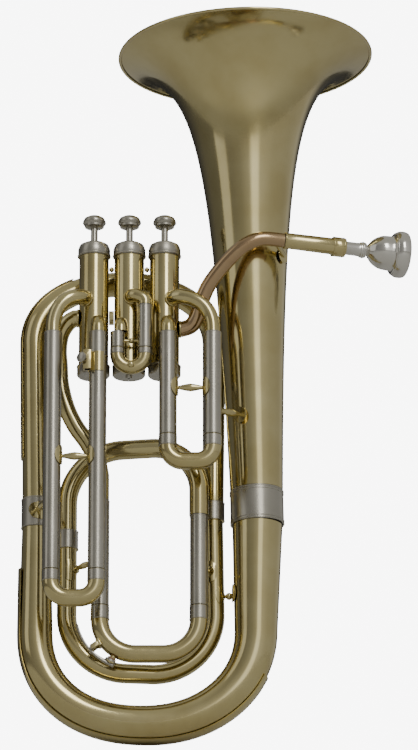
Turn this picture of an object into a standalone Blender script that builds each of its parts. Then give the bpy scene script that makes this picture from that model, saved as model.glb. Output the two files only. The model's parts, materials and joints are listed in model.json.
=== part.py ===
"""Upright three-valve baritone horn (small bore, British pattern), bell up.

Frame: metres, +Z up along the bell, +X to the bell side, +Y away from the valve slides.
The origin is the lowest point of the bottom bow's guard, under the middle of the bow.
Valve 1 is the one next to the bell. Every tube is hollow, and pieces that touch keep a small gap.
"""

import math

import bmesh
import bpy
from mathutils import Matrix, Vector

# ---------------------------------------------------------------- driving dimensions (metres)
GAP = 0.0003              # clearance between touching pieces
WALL = 0.0006             # sheet thickness of tubes and bell
BALL_STEPS = 4            # steps over a brace's ball
UP = Vector((0.0, 0.0, 1.0))

# bell: its axis leans a little towards the valves
BELL_FOOT = Vector((0.1018, 0.0, 0.2427))
BELL_LEAN = 0.0221
BELL_LENGTH = 0.4339
RIM_RADIUS = 0.1187
RIM_BEAD = 0.0016
FLARE_START = 0.0191
FLARE_POWER = 0.498

# main bow, the loop that carries the bell
BOW_HALF_SPAN = 0.1010
BOW_CENTRE_Z = 0.1084
BOW_DROP = 0.0893
BOW_SQUARENESS = (2.09, 2.27)
BELL_END_RADIUS = 0.0232
BELL_FERRULE_RADIUS = 0.0247
BELL_FERRULE_LENGTH = 0.0325
BOW_RIGHT_RADIUS = 0.0198
BOW_RADIUS = 0.0176
BOW_LEFT_RADIUS = 0.0156
BOW_STEPS = 12
GUARD_THICKNESS = 0.0009
GUARD_CLEARANCE = 0.0006
GUARD_LEFT_RISE = 0.0580
GUARD_ANGLES = (-121.0, -59.0)
LEFT_TUBE_RADIUS = 0.0134
LEFT_FERRULE = (0.2062, 0.2345)
TOP_BOW_CENTRE = Vector((-0.0208, 0.0, 0.3876))
TOP_BOW_HALF_SPAN = 0.0834
TOP_BOW_RISE = 0.0597
TOP_BOW_SQUARENESS = 2.15
TOP_BOW_RADIUS = 0.0116
TOP_BOW_STEPS = 12
TOP_GUARD_DROP = 0.1130
INNER_LEG_X = 0.0618
INNER_LEG_TOP_Y = 0.0228
INNER_LEG_LOW_Y = 0.0080
INNER_LEG_RADIUS = 0.0098
INNER_FERRULE = (0.2156, 0.2341)

# inner loop and arch, between the top bow and the main tuning slide
LOOP_LEFT_X = -0.0728
LOOP_RIGHT_X = 0.0632
LOOP_LEFT_Y = 0.0050
LOOP_BEND = 0.0563
LOOP_LOW_Z = 0.0690
LOOP_RADIUS = 0.0091
LOOP_FERRULE = (0.1872, 0.2056)
ARCH_RADIUS = 0.0090
ARCH_LEFT_BEND = 0.0500
ARCH_RIGHT_BEND = 0.0437
ARCH_TOP_Z = 0.2815

# main tuning slide
TUNING_Y = -0.0180
TUNING_LEFT_X = -0.0418
TUNING_RIGHT_X = 0.0486
TUNING_BEND = 0.0324
TUNING_RADIUS = 0.0083
TUNING_SLEEVE_TOPS = (0.2277, 0.2132)
TUNING_SLEEVE_END = 0.1266
TUNING_FERRULE_END = 0.1137
TUNING_LOW_Z = 0.0808
TUNING_LEG = 0.0700

# slides: outer sleeves, inner legs and bows
SLEEVE_RADIUS = 0.0082
LEG_RADIUS = 0.0066

# valves
VALVE_PITCH = 0.0328
VALVE_1_X = 0.0165
VALVE_Y = -0.0280
CASING_RADIUS = 0.0138
CASING_Z = (0.3487, 0.4725)
CAP_RADIUS = 0.0150
PISTON_RADIUS = 0.0126
PISTON_Z = (0.3990, 0.4690)

# mouthpipe
RECEIVER_START = Vector((0.1275, -0.0500, 0.4719))
RECEIVER_AXIS = Vector((0.9660, 0.2588, -0.0300)).normalized()
RECEIVER_LENGTH = 0.0586
LEADPIPE_RADII = (0.0066, 0.0074)
LEADPIPE_ROUTE = [
    Vector((0.1060, -0.0545, 0.4716)),
    Vector((0.0905, -0.0545, 0.4650)),
    Vector((0.0766, -0.0505, 0.4533)),
    Vector((0.0642, -0.0450, 0.4395)),
    Vector((0.0560, -0.0400, 0.4279)),
    Vector((0.0503, -0.0355, 0.4148)),
    Vector((0.0464, -0.0315, 0.4031)),
    Vector((0.0413, -0.0290, 0.3952)),
]
EXIT_ROUTE = [
    Vector((-0.0728, -0.0262, 0.3990)),
    Vector((-0.0792, -0.0240, 0.3890)),
    Vector((-0.0815, -0.0220, 0.3740)),
    Vector((-0.0805, -0.0215, 0.3580)),
    Vector((-0.0797, -0.0210, 0.3430)),
    Vector((-0.0768, -0.0205, 0.3280)),
    Vector((-0.0720, -0.0200, 0.3130)),
    Vector((-0.0645, -0.0190, 0.2985)),
    Vector((-0.0540, -0.0182, 0.2835)),
    Vector((-0.0450, -0.0180, 0.2660)),
]

# ---------------------------------------------------------------- materials
FINISHES = {
    "brass": ((0.48, 0.40, 0.21), 0.16, 1.0),
    "nickel": ((0.52, 0.50, 0.45), 0.22, 1.0),
    "silver": ((0.72, 0.70, 0.66), 0.12, 1.0),
    "rose_brass": ((0.42, 0.27, 0.17), 0.18, 1.0),
    "steel": ((0.45, 0.45, 0.46), 0.30, 1.0),
    "cork": ((0.42, 0.27, 0.15), 0.85, 0.0),
}


def clear_scene():
    for item in list(bpy.data.objects):
        bpy.data.objects.remove(item, do_unlink=True)


def make_collection(name):
    collection = bpy.data.collections.new(name)
    bpy.context.scene.collection.children.link(collection)
    return collection


clear_scene()
HORN = make_collection("baritone_horn")
CUTTERS = make_collection("cutters")


def finish(name, kind):
    """A sub-part's own material, of one of the finishes above."""
    colour, roughness, metallic = FINISHES[kind]
    material = bpy.data.materials.new(name + "_" + kind)
    material.use_nodes = True
    shader = material.node_tree.nodes["Principled BSDF"]
    shader.inputs["Base Color"].default_value = (*colour, 1.0)
    shader.inputs["Roughness"].default_value = roughness
    shader.inputs["Metallic"].default_value = metallic
    return material


def add_object(name, data, kind):
    piece = bpy.data.objects.new(name, data)
    data.materials.clear()
    data.materials.append(finish(name, kind))
    HORN.objects.link(piece)
    return piece


# ---------------------------------------------------------------- routes
def lerp(a, b, t):
    return a + (b - a) * t


def bezier(start, start_handle, end_handle, end, steps):
    """Points of a cubic curve, both ends included."""
    points = []
    for i in range(steps + 1):
        t = i / steps
        s = 1.0 - t
        points.append(s**3 * start + 3 * s * s * t * start_handle + 3 * s * t * t * end_handle + t**3 * end)
    return points


def quarter(centre, first, second, steps):
    """Points of a quarter turn from centre + first to centre + second."""
    points = []
    for i in range(steps + 1):
        angle = 0.5 * math.pi * i / steps
        points.append(centre + first * math.cos(angle) + second * math.sin(angle))
    return points


def u_route(left_x, right_x, y, top_z, low_z, bend, steps):
    """Down the left leg, round the bottom and up the right leg, in the plane Y = y."""
    left = Vector((left_x + bend, y, low_z + bend))
    right = Vector((right_x - bend, y, low_z + bend))
    side = Vector((bend, 0.0, 0.0))
    down = Vector((0.0, 0.0, -bend))
    route = [Vector((left_x, y, top_z))]
    route += quarter(left, -side, down, steps)
    route += quarter(right, down, side, steps)
    route.append(Vector((right_x, y, top_z)))
    return route


def smooth(points, steps):
    """A smooth route through the points, with a number of steps from each one to the next."""
    route = []
    for i in range(len(points) - 1):
        before = points[max(i - 1, 0)]
        start = points[i]
        end = points[i + 1]
        after = points[min(i + 2, len(points) - 1)]
        route += bezier(start, start + (end - before) / 6.0, end - (after - start) / 6.0, end, steps)[:-1]
    route.append(points[-1])
    return route


def route_radii(route, pairs):
    """Radius at each point, blended along the route's length between (fraction, radius) pairs."""
    lengths = [0.0]
    for a, b in zip(route, route[1:]):
        lengths.append(lengths[-1] + (b - a).length)
    radii = []
    for length in lengths:
        t = length / lengths[-1]
        for (t0, r0), (t1, r1) in zip(pairs, pairs[1:]):
            if t <= t1 + 1e-9:
                radii.append(lerp(r0, r1, (t - t0) / (t1 - t0)))
                break
    return radii


# ---------------------------------------------------------------- shapes
def tube(name, route, radii, kind="brass", wall=WALL, sides=8):
    """A round tube along a route. With a wall it is hollow and open at both ends."""
    widest = max(radii)
    curve = bpy.data.curves.new(name, "CURVE")
    curve.dimensions = "3D"
    curve.fill_mode = "FULL"
    curve.bevel_mode = "ROUND"
    curve.bevel_depth = widest
    curve.bevel_resolution = sides // 2 - 2
    curve.use_fill_caps = not wall
    spline = curve.splines.new("POLY")
    spline.points.add(len(route) - 1)
    for point, place, radius in zip(spline.points, route, radii):
        point.co = (*place, 1.0)
        point.radius = radius / widest
    piece = add_object(name, curve, kind)
    if wall:
        solidify = piece.modifiers.new("wall", "SOLIDIFY")
        solidify.thickness = wall
        solidify.offset = -1.0
    return piece


def plain_tube(name, route, radius, kind="brass", wall=WALL, sides=8):
    return tube(name, route, [radius] * len(route), kind, wall, sides)


def turned(name, profile, kind="brass", place=None, axis=UP, closed=True, steps=16):
    """A turned piece. The profile is (radius, height) down its outer side, then up its inner side."""
    mesh = bpy.data.meshes.new(name)
    shape = bmesh.new()
    points = [shape.verts.new((radius, 0.0, height)) for radius, height in profile]
    for a, b in zip(points, points[1:]):
        shape.edges.new((a, b))
    if closed:
        shape.edges.new((points[-1], points[0]))
    shape.to_mesh(mesh)
    shape.free()
    piece = add_object(name, mesh, kind)
    screw = piece.modifiers.new("turn", "SCREW")
    screw.steps = steps
    screw.render_steps = steps
    screw.use_merge_vertices = True
    screw.merge_threshold = 0.00002
    piece.location = place or Vector()
    piece.rotation_mode = "QUATERNION"
    piece.rotation_quaternion = UP.rotation_difference(axis)
    return piece


def ring(name, radius, low, high, wall, kind="nickel", place=None, axis=UP, steps=16):
    """A plain hollow ring between two heights on its axis."""
    profile = [(radius, high), (radius, low), (radius - wall, low), (radius - wall, high)]
    return turned(name, profile, kind, place, axis, True, steps)


def block(name, size, place, kind="brass"):
    mesh = bpy.data.meshes.new(name)
    shape = bmesh.new()
    bmesh.ops.create_cube(shape, size=1.0, matrix=Matrix.Diagonal((*size, 1.0)))
    shape.to_mesh(mesh)
    shape.free()
    piece = add_object(name, mesh, kind)
    piece.location = place
    return piece


def rod(name, start, end, radius, kind="brass", sides=8):
    return tube(name, [start, end], [radius, radius], kind, None, sides)


def as_mesh(piece):
    """The same piece as a plain mesh with its ends welded, ready to be joined or cut."""
    bpy.context.view_layer.update()
    graph = bpy.context.evaluated_depsgraph_get()
    mesh = bpy.data.meshes.new_from_object(piece.evaluated_get(graph))
    shape = bmesh.new()
    shape.from_mesh(mesh)
    bmesh.ops.remove_doubles(shape, verts=shape.verts, dist=0.000002)
    bmesh.ops.recalc_face_normals(shape, faces=shape.faces)
    shape.to_mesh(mesh)
    shape.free()
    name = piece.name
    place = piece.matrix_world.copy()
    bpy.data.objects.remove(piece, do_unlink=True)
    solid = bpy.data.objects.new(name, mesh)
    solid.matrix_world = place
    HORN.objects.link(solid)
    return solid


def use_tool(base, tool, operation):
    tool = as_mesh(tool)
    HORN.objects.unlink(tool)
    CUTTERS.objects.link(tool)
    tool.hide_render = True
    tool.display_type = "WIRE"
    step = base.modifiers.new(tool.name, "BOOLEAN")
    step.operation = operation
    step.solver = "EXACT"
    step.object = tool


def join(base, *extras):
    """One soldered piece from several shapes."""
    base = as_mesh(base)
    for extra in extras:
        use_tool(base, extra, "UNION")
    return base


def flange_brace(name, start, end, start_plate, end_plate, kind="brass"):
    """A turned brace: a round plate at each end, slim necks and a fuller middle."""
    length = (end - start).length
    neck = 0.0017
    plate = 0.0010
    belly = min(max(0.16 * length, neck), 0.0038)
    profile = [
        (0.0, length),
        (end_plate, length),
        (end_plate, length - plate),
        (neck, length - plate * 1.8),
        (belly * 0.85, length * 0.66),
        (belly, length * 0.5),
        (belly * 0.85, length * 0.34),
        (neck, plate * 1.8),
        (start_plate, plate),
        (start_plate, 0.0),
        (0.0, 0.0),
    ]
    return turned(name, profile, kind, start, (end - start).normalized(), False, 10)


def ball_brace(name, start, end, ball, neck, kind="brass"):
    """A short turned brace with a ball in the middle."""
    length = (end - start).length
    middle = length * 0.5
    half = min(ball, middle - 0.0004)
    profile = [(0.0, length), (neck * 1.6, length), (neck * 1.2, length - 0.0003)]
    for i in range(BALL_STEPS + 1):
        angle = lerp(0.38, math.pi - 0.38, i / BALL_STEPS)
        profile.append((ball * math.sin(angle), middle + half * math.cos(angle)))
    profile += [(neck * 1.2, 0.0003), (neck * 1.6, 0.0), (0.0, 0.0)]
    return turned(name, profile, kind, start, (end - start).normalized(), False, 8)


def between(a, a_radius, b, b_radius):
    """The two ends of a brace that spans from one tube's surface to another's."""
    way = (b - a).normalized()
    return a + way * (a_radius + GAP), b - way * (b_radius + GAP)


# ---------------------------------------------------------------- bell and main bow
def bell_axis():
    return Vector((-math.sin(BELL_LEAN), 0.0, math.cos(BELL_LEAN)))


def bell_radius(height):
    """Outer radius at a height above the bell's foot."""
    depth = BELL_LENGTH - height
    return RIM_RADIUS * (FLARE_START / (FLARE_START + depth)) ** FLARE_POWER


def bell_point(z):
    """The point of the bell's axis at the height z of the frame."""
    height = (z - BELL_FOOT.z) / math.cos(BELL_LEAN)
    return BELL_FOOT + bell_axis() * height, bell_radius(height)


def bell_heights():
    """Heights for the flare's rings, closer together towards the rim."""
    steps = 9
    return [BELL_LENGTH * (1.0 - (i / steps) ** 2.4) for i in range(steps + 1)]


def make_bell():
    heights = bell_heights()
    top = BELL_LENGTH
    outer = [(bell_radius(h), h) for h in heights[1:]]
    inner = [(radius - WALL, h) for radius, h in reversed(outer)]
    bead = [
        (RIM_RADIUS - RIM_BEAD, top + RIM_BEAD),
        (RIM_RADIUS + RIM_BEAD * 0.6, top + RIM_BEAD),
        (RIM_RADIUS + RIM_BEAD, top),
        (RIM_RADIUS + RIM_BEAD * 0.6, top - RIM_BEAD),
        (RIM_RADIUS - RIM_BEAD, top - RIM_BEAD),
    ]
    turned("bell", bead + outer + inner, "brass", BELL_FOOT, bell_axis(), True, 24)


def squared(angle, squareness):
    """Cosine and sine of a rounder (2) or squarer (over 2) half turn, from 0 to 180 degrees."""
    power = 2.0 / squareness
    cosine = math.cos(angle)
    sine = max(math.sin(angle), 0.0)
    return math.copysign(abs(cosine) ** power, cosine), sine**power


def bow_point(angle):
    """Angle 0 is the bell side, 180 degrees the left side."""
    right, left = BOW_SQUARENESS
    across, down = squared(angle, right if angle < 0.5 * math.pi else left)
    return Vector((BOW_HALF_SPAN * across, 0.0, BOW_CENTRE_Z - BOW_DROP * down))


def bow_radius(angle):
    """Outer radius of the bow: it narrows from the bell side to the left side."""
    t = angle / math.pi
    if t < 0.5:
        return lerp(BOW_RIGHT_RADIUS, BOW_RADIUS, (t / 0.5) ** 1.2)
    return lerp(BOW_RADIUS, BOW_LEFT_RADIUS, (t - 0.5) / 0.5)


def make_bottom_bow():
    angles = [math.pi * i / BOW_STEPS for i in range(BOW_STEPS + 1)]
    route = [BELL_FOOT - bell_axis() * (BELL_FERRULE_LENGTH + 2.0 * GAP)]
    route += [bow_point(angle) for angle in angles]
    route.append(Vector((-BOW_HALF_SPAN, 0.0, LEFT_FERRULE[0] - GAP)))
    radii = [BELL_END_RADIUS]
    radii += [bow_radius(angle) for angle in angles]
    radii.append(LEFT_TUBE_RADIUS)
    tube("bottom_bow", route, radii, sides=12)


def guard(name, route, radii):
    """A thin guard strip that hugs the outer side of a bow: an arc swept along the bow's route."""
    section = bpy.data.curves.new(name + "_section", "CURVE")
    section.dimensions = "2D"
    spline = section.splines.new("POLY")
    count = 4
    spline.points.add(count)
    for i in range(count + 1):
        angle = math.radians(lerp(GUARD_ANGLES[0], GUARD_ANGLES[1], i / count))
        spline.points[i].co = (math.cos(angle), math.sin(angle), 0.0, 1.0)
    shape = bpy.data.objects.new(name + "_section", section)
    CUTTERS.objects.link(shape)
    shape.hide_render = True
    shape.display_type = "WIRE"
    curve = bpy.data.curves.new(name, "CURVE")
    curve.dimensions = "3D"
    curve.bevel_mode = "OBJECT"
    curve.bevel_object = shape
    path = curve.splines.new("POLY")
    path.points.add(len(route) - 1)
    for point, place, radius in zip(path.points, route, radii):
        point.co = (*place, 1.0)
        point.radius = radius
    piece = add_object(name, curve, "brass")
    solidify = piece.modifiers.new("wall", "SOLIDIFY")
    solidify.thickness = GUARD_THICKNESS
    solidify.offset = -1.0
    return piece


def make_bottom_guard():
    angles = [math.pi / 8.0]
    angles += [math.pi * i / BOW_STEPS for i in range(BOW_STEPS // 6, BOW_STEPS + 1)]
    route = [bow_point(angle) for angle in angles]
    route.append(bow_point(math.pi) + UP * GUARD_LEFT_RISE)
    radii = [bow_radius(angle) + GUARD_CLEARANCE for angle in angles]
    radii.append(BOW_LEFT_RADIUS - 0.0004 + GUARD_CLEARANCE)
    guard("bottom_guard", route, radii)


def make_joint_ferrules():
    low = BELL_FOOT - bell_axis() * (BELL_FERRULE_LENGTH + GAP)
    ring("bell_ferrule", BELL_FERRULE_RADIUS, 0.0, BELL_FERRULE_LENGTH, 0.0010, "nickel", low, bell_axis(), 24)
    bottom, top = LEFT_FERRULE
    left_low = Vector((-BOW_HALF_SPAN, 0.0, bottom))
    band = ring("left_ferrule", 0.0142, 0.0, top - bottom, 0.0009, "nickel", left_low)
    plate_start = Vector((-BOW_HALF_SPAN, -0.0140, 0.5 * (bottom + top)))
    target = Vector((SLIDES[3]["left_x"], SLIDES[3]["y"], plate_start.z))
    start, end = between(plate_start, 0.0, target, SLEEVE_RADIUS)
    stay = flange_brace("left_stay", start - (end - start).normalized() * 0.0006, end, 0.0075, 0.0040)
    join(band, stay)


# ---------------------------------------------------------------- top bow, inner loop and arch
def inner_leg_point(z):
    """The centre of the tube that comes down beside the bell, at height z."""
    t = (TOP_BOW_CENTRE.z - z) / (TOP_BOW_CENTRE.z - INNER_FERRULE[1])
    return Vector((INNER_LEG_X, lerp(INNER_LEG_TOP_Y, INNER_LEG_LOW_Y, t), z))


def top_bow_point(angle):
    """Angle 0 is the left end, 180 degrees the right end; the bow slants back to the right."""
    across, up = squared(angle, TOP_BOW_SQUARENESS)
    y = INNER_LEG_TOP_Y * (0.5 - 0.5 * math.cos(angle))
    return Vector((
        TOP_BOW_CENTRE.x - TOP_BOW_HALF_SPAN * across,
        y,
        TOP_BOW_CENTRE.z + TOP_BOW_RISE * up + 0.3 * y,
    ))


def make_top_bow():
    route = [Vector((-BOW_HALF_SPAN, 0.0, LEFT_FERRULE[1] + GAP))]
    route += [top_bow_point(math.pi * i / TOP_BOW_STEPS) for i in range(TOP_BOW_STEPS + 1)]
    end = inner_leg_point(INNER_FERRULE[1] + GAP)
    route += [end + UP * 0.0100, end]
    radii = route_radii(route, [(0.0, LEFT_TUBE_RADIUS), (0.45, TOP_BOW_RADIUS), (1.0, INNER_LEG_RADIUS)])
    tube("top_bow", route, radii)


def make_top_guard():
    angles = [math.pi * i / TOP_BOW_STEPS for i in range(5)]
    route = [top_bow_point(0.0) - Vector((-0.0024, 0.0, TOP_GUARD_DROP))]
    route += [top_bow_point(angle) for angle in angles]
    radii = [0.0131 + GUARD_CLEARANCE]
    radii += [lerp(0.0124, 0.0118, i / 4) + GUARD_CLEARANCE for i in range(5)]
    guard("top_guard", route, radii)


def make_inner_loop():
    """From the ferrule beside the bell, down, round the bottom and up to the ferrule at the left."""
    right = Vector((LOOP_RIGHT_X - LOOP_BEND, INNER_LEG_LOW_Y, LOOP_LOW_Z + LOOP_BEND))
    left = Vector((LOOP_LEFT_X + LOOP_BEND, LOOP_LEFT_Y, LOOP_LOW_Z + LOOP_BEND))
    side = Vector((LOOP_BEND, 0.0, 0.0))
    down = Vector((0.0, 0.0, -LOOP_BEND))
    step = 0.0004
    route = [Vector((INNER_LEG_X, INNER_LEG_LOW_Y, z)) for z in (INNER_FERRULE[1], INNER_FERRULE[0])]
    route += [Vector((INNER_LEG_X, INNER_LEG_LOW_Y, INNER_FERRULE[0] - step))]
    route += quarter(right, side, down, 5)
    route += quarter(left, down, -side, 5)
    route += [Vector((LOOP_LEFT_X, LOOP_LEFT_Y, LOOP_FERRULE[0] - step))]
    route += [Vector((LOOP_LEFT_X, LOOP_LEFT_Y, z)) for z in LOOP_FERRULE]
    radii = [INNER_LEG_RADIUS + 0.0003] * 2
    radii += [LOOP_RADIUS] * (len(route) - 4)
    radii += [LOOP_RADIUS + 0.0007] * 2
    tube("inner_loop", route, radii)


def arch_y(x):
    """The arch slants forward from the inner loop to the tuning slide."""
    t = (x - LOOP_LEFT_X) / (TUNING_RIGHT_X - LOOP_LEFT_X)
    return lerp(LOOP_LEFT_Y, TUNING_Y, min(max(t, 0.0), 1.0))


def make_arch():
    left = Vector((LOOP_LEFT_X + ARCH_LEFT_BEND, 0.0, ARCH_TOP_Z - ARCH_LEFT_BEND))
    right = Vector((TUNING_RIGHT_X - ARCH_RIGHT_BEND, 0.0, ARCH_TOP_Z - ARCH_RIGHT_BEND))
    route = [Vector((LOOP_LEFT_X, 0.0, LOOP_FERRULE[1] + GAP))]
    route += quarter(left, Vector((-ARCH_LEFT_BEND, 0.0, 0.0)), UP * ARCH_LEFT_BEND, 6)
    route += quarter(right, UP * ARCH_RIGHT_BEND, Vector((ARCH_RIGHT_BEND, 0.0, 0.0)), 5)
    route.append(Vector((TUNING_RIGHT_X, 0.0, TUNING_SLEEVE_TOPS[1] + GAP)))
    for point in route:
        point.y = arch_y(point.x)
    plain_tube("tuning_arch", route, ARCH_RADIUS)


def make_exit_tube():
    """From valve 3, out and down past its slide, in an S to the left leg of the tuning slide."""
    start = Vector((valve_x(3) - CASING_RADIUS - GAP, VALVE_Y, 0.4027))
    stub = Vector((-0.0032, 0.0, 0.0))
    end = Vector((TUNING_LEFT_X, TUNING_Y, TUNING_SLEEVE_TOPS[0] + GAP))
    rise = Vector((0.0, 0.0, 0.0240))
    route = [start] + smooth([start + stub, *EXIT_ROUTE, end + rise], 2) + [end]
    plain_tube("exit_tube", route, 0.0079)


# ---------------------------------------------------------------- slides
SLIDES = {
    1: {"left_x": 0.0201, "right_x": 0.0613, "y": -0.0525, "top": 0.3802, "end": 0.2801,
        "ferrule": 0.0106, "low": 0.2549, "bend": 0.0142, "leg": 0.0700, "brace_z": 0.3262},
    2: {"left_x": -0.0266, "right_x": -0.0012, "y": -0.0505, "top": 0.3811, "end": 0.3654,
        "ferrule": 0.0059, "low": 0.3466, "bend": 0.0123, "leg": 0.0140, "brace_z": 0.3726},
    3: {"left_x": -0.0860, "right_x": -0.0445, "y": -0.0525, "top": 0.3802, "end": 0.1503,
        "ferrule": 0.0105, "low": 0.1237, "bend": 0.0157, "leg": 0.1100, "brace_z": 0.2597},
}
SMALL_SLEEVE_RADIUS = 0.0066
SMALL_LEG_RADIUS = 0.0054
SLIDE_2_RIGHT_TOP = 0.4076


def slide_bow(name, left_x, right_x, y, sleeve_end, ferrule, low_z, bend, leg, sleeve_radius, leg_radius):
    """A moving slide: two inner legs, a ferrule at each end of the bow, and the bow itself."""
    core = u_route(left_x, right_x, y, 0.0, low_z, bend, 4)[1:-1]
    top = sleeve_end - GAP
    left = [
        (top + leg, leg_radius),
        (top + 0.0001, leg_radius),
        (top - 0.0002, sleeve_radius),
        (sleeve_end - ferrule, sleeve_radius),
    ]
    route = [Vector((left_x, y, z)) for z, _ in left]
    radii = [radius for _, radius in left]
    route += core
    radii += [sleeve_radius] * len(core)
    route += [Vector((right_x, y, z)) for z, _ in reversed(left)]
    radii += [radius for _, radius in reversed(left)]
    return tube(name, route, radii, wall=0.0005)


def outer_sleeves(number, slide, radius):
    """The two fixed sleeves of a valve slide and the turned brace soldered between them."""
    tops = (slide["top"], SLIDE_2_RIGHT_TOP if number == 2 else slide["top"])
    xs = (slide["left_x"], slide["right_x"])
    sleeves = []
    for side, x, top in zip(("left", "right"), xs, tops):
        route = [Vector((x, slide["y"], slide["end"])), Vector((x, slide["y"], top - GAP))]
        sleeves.append(plain_tube("slide_%d_sleeve_%s" % (number, side), route, radius, "nickel", 0.0005))
    left = Vector((xs[0] + radius - 0.0004, slide["y"], slide["brace_z"]))
    right = Vector((xs[1] - radius + 0.0004, slide["y"], slide["brace_z"]))
    make_brace = ball_brace if number == 2 else flange_brace
    sizes = (0.0024, 0.0012) if number == 2 else (0.0040, 0.0040)
    brace = make_brace("slide_%d_brace" % number, left, right, *sizes)
    body = join(sleeves[0], sleeves[1], brace)
    body.name = "slide_%d_sleeves" % number


def valve_x(number):
    return VALVE_1_X - (number - 1) * VALVE_PITCH


def crook(name, number, leg_x, leg_top, y, z, port_angle, radius, lift, reach):
    """A bend from a slide leg to the front of its valve. The port angle turns from straight ahead to +X."""
    axis = Vector((valve_x(number), VALVE_Y, z))
    out = Vector((math.sin(port_angle), -math.cos(port_angle), 0.0))
    start = axis + out * (CASING_RADIUS + GAP)
    end = Vector((leg_x, y, leg_top))
    route = [end + UP * GAP]
    route += bezier(end + UP * 0.0030, end + UP * lift, start + out * reach, start + out * 0.0012, 6)
    route.append(start)
    plain_tube(name, route, radius)


def elbow(name, leg_x, y, leg_top, radius):
    """A tight quarter bend from the top of a slide leg straight back to the valve."""
    back = VALVE_Y - CASING_RADIUS - GAP
    stub = 0.0006
    bend = back - stub - y
    centre = Vector((leg_x, back - stub, leg_top + 0.0030))
    route = [Vector((leg_x, y, leg_top + GAP))]
    route += quarter(centre, Vector((0.0, -bend, 0.0)), UP * bend, 4)
    route.append(route[-1] + Vector((0.0, stub, 0.0)))
    plain_tube(name, route, radius)


def make_slides():
    for number, slide in SLIDES.items():
        small = number == 2
        sleeve_radius = SMALL_SLEEVE_RADIUS if small else SLEEVE_RADIUS
        leg_radius = SMALL_LEG_RADIUS if small else LEG_RADIUS
        outer_sleeves(number, slide, sleeve_radius)
        slide_bow("slide_%d_bow" % number, slide["left_x"], slide["right_x"], slide["y"], slide["end"],
                  slide["ferrule"], slide["low"], slide["bend"], slide["leg"], sleeve_radius, leg_radius)
    one = SLIDES[1]
    two = SLIDES[2]
    three = SLIDES[3]
    crook("slide_1_crook", 1, one["right_x"], one["top"], one["y"], 0.4180, math.radians(30), 0.0070, 0.034, 0.016)
    crook("slide_3_crook", 3, three["left_x"], three["top"], three["y"], 0.4180, math.radians(-30),
          0.0070, 0.034, 0.016)
    crook("slide_2_crook", 2, two["right_x"], SLIDE_2_RIGHT_TOP, two["y"], 0.4188, math.radians(8),
          0.0064, 0.009, 0.009)
    elbow("slide_1_elbow", one["left_x"], one["y"], one["top"], 0.0070)
    elbow("slide_2_elbow", two["left_x"] + 0.0030, two["y"], two["top"], 0.0060)
    elbow("slide_3_elbow", three["right_x"], three["y"], three["top"], 0.0070)


def make_tuning_slide():
    sleeves = zip(("left", "right"), (TUNING_LEFT_X, TUNING_RIGHT_X), TUNING_SLEEVE_TOPS)
    for side, x, top in sleeves:
        route = [Vector((x, TUNING_Y, TUNING_SLEEVE_END)), Vector((x, TUNING_Y, top))]
        plain_tube("tuning_sleeve_" + side, route, TUNING_RADIUS, "nickel", 0.0005)
    bow = slide_bow("tuning_slide", TUNING_LEFT_X, TUNING_RIGHT_X, TUNING_Y, TUNING_SLEEVE_END,
                    TUNING_SLEEVE_END - TUNING_FERRULE_END, TUNING_LOW_Z, TUNING_BEND, TUNING_LEG,
                    TUNING_RADIUS, LEG_RADIUS)
    join(bow, *water_key_saddle())


# ---------------------------------------------------------------- water key
WATER_KEY_ANGLE = math.radians(214)
WATER_KEY_REACH = 0.0480
NIPPLE_ANGLE = math.radians(240)


def tuning_bend_centre():
    return Vector((TUNING_LEFT_X + TUNING_BEND, TUNING_Y, TUNING_LOW_Z + TUNING_BEND))


def water_key_out():
    """Away from the tuning bow's bend centre, through the hinge."""
    return Vector((math.cos(WATER_KEY_ANGLE), 0.0, math.sin(WATER_KEY_ANGLE)))


def water_key_pivot():
    return tuning_bend_centre() + water_key_out() * WATER_KEY_REACH


def water_key_slope():
    """Turn about Y that lays a piece's local X along the way out of the bow."""
    return -(WATER_KEY_ANGLE - math.pi)


def water_key_along():
    """From the hinge towards the cork, along the bow."""
    out = water_key_out()
    return Vector((-out.z, 0.0, out.x))


def nipple_out():
    return Vector((math.cos(NIPPLE_ANGLE), 0.0, math.sin(NIPPLE_ANGLE)))


def water_key_nipple():
    """The mouth of the drain nipple on the bow."""
    return tuning_bend_centre() + nipple_out() * (TUNING_BEND + TUNING_RADIUS + 0.0012)


def key_block(name, size, reach, y):
    """A block square to the bow at the hinge, reach metres out from the bend centre."""
    piece = block(name, size, tuning_bend_centre() + water_key_out() * reach + Vector((0.0, y, 0.0)))
    piece.rotation_euler = (0.0, water_key_slope(), 0.0)
    return piece


def water_key_saddle():
    """The foot, its two ears and the nipple, all soldered to the bow."""
    surface = TUNING_BEND + TUNING_RADIUS
    foot = key_block("water_key_foot", (0.0028, 0.0128, 0.0070), surface - 0.0006, 0.0)
    ears = [
        key_block("water_key_ear_%d" % side, (0.0080, 0.0012, 0.0044), surface + 0.0040, side * 0.0058)
        for side in (-1, 1)
    ]
    nipple = rod("water_key_nipple", water_key_nipple() - nipple_out() * 0.0040, water_key_nipple(), 0.0030)
    return [foot, *ears, nipple]


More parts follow.
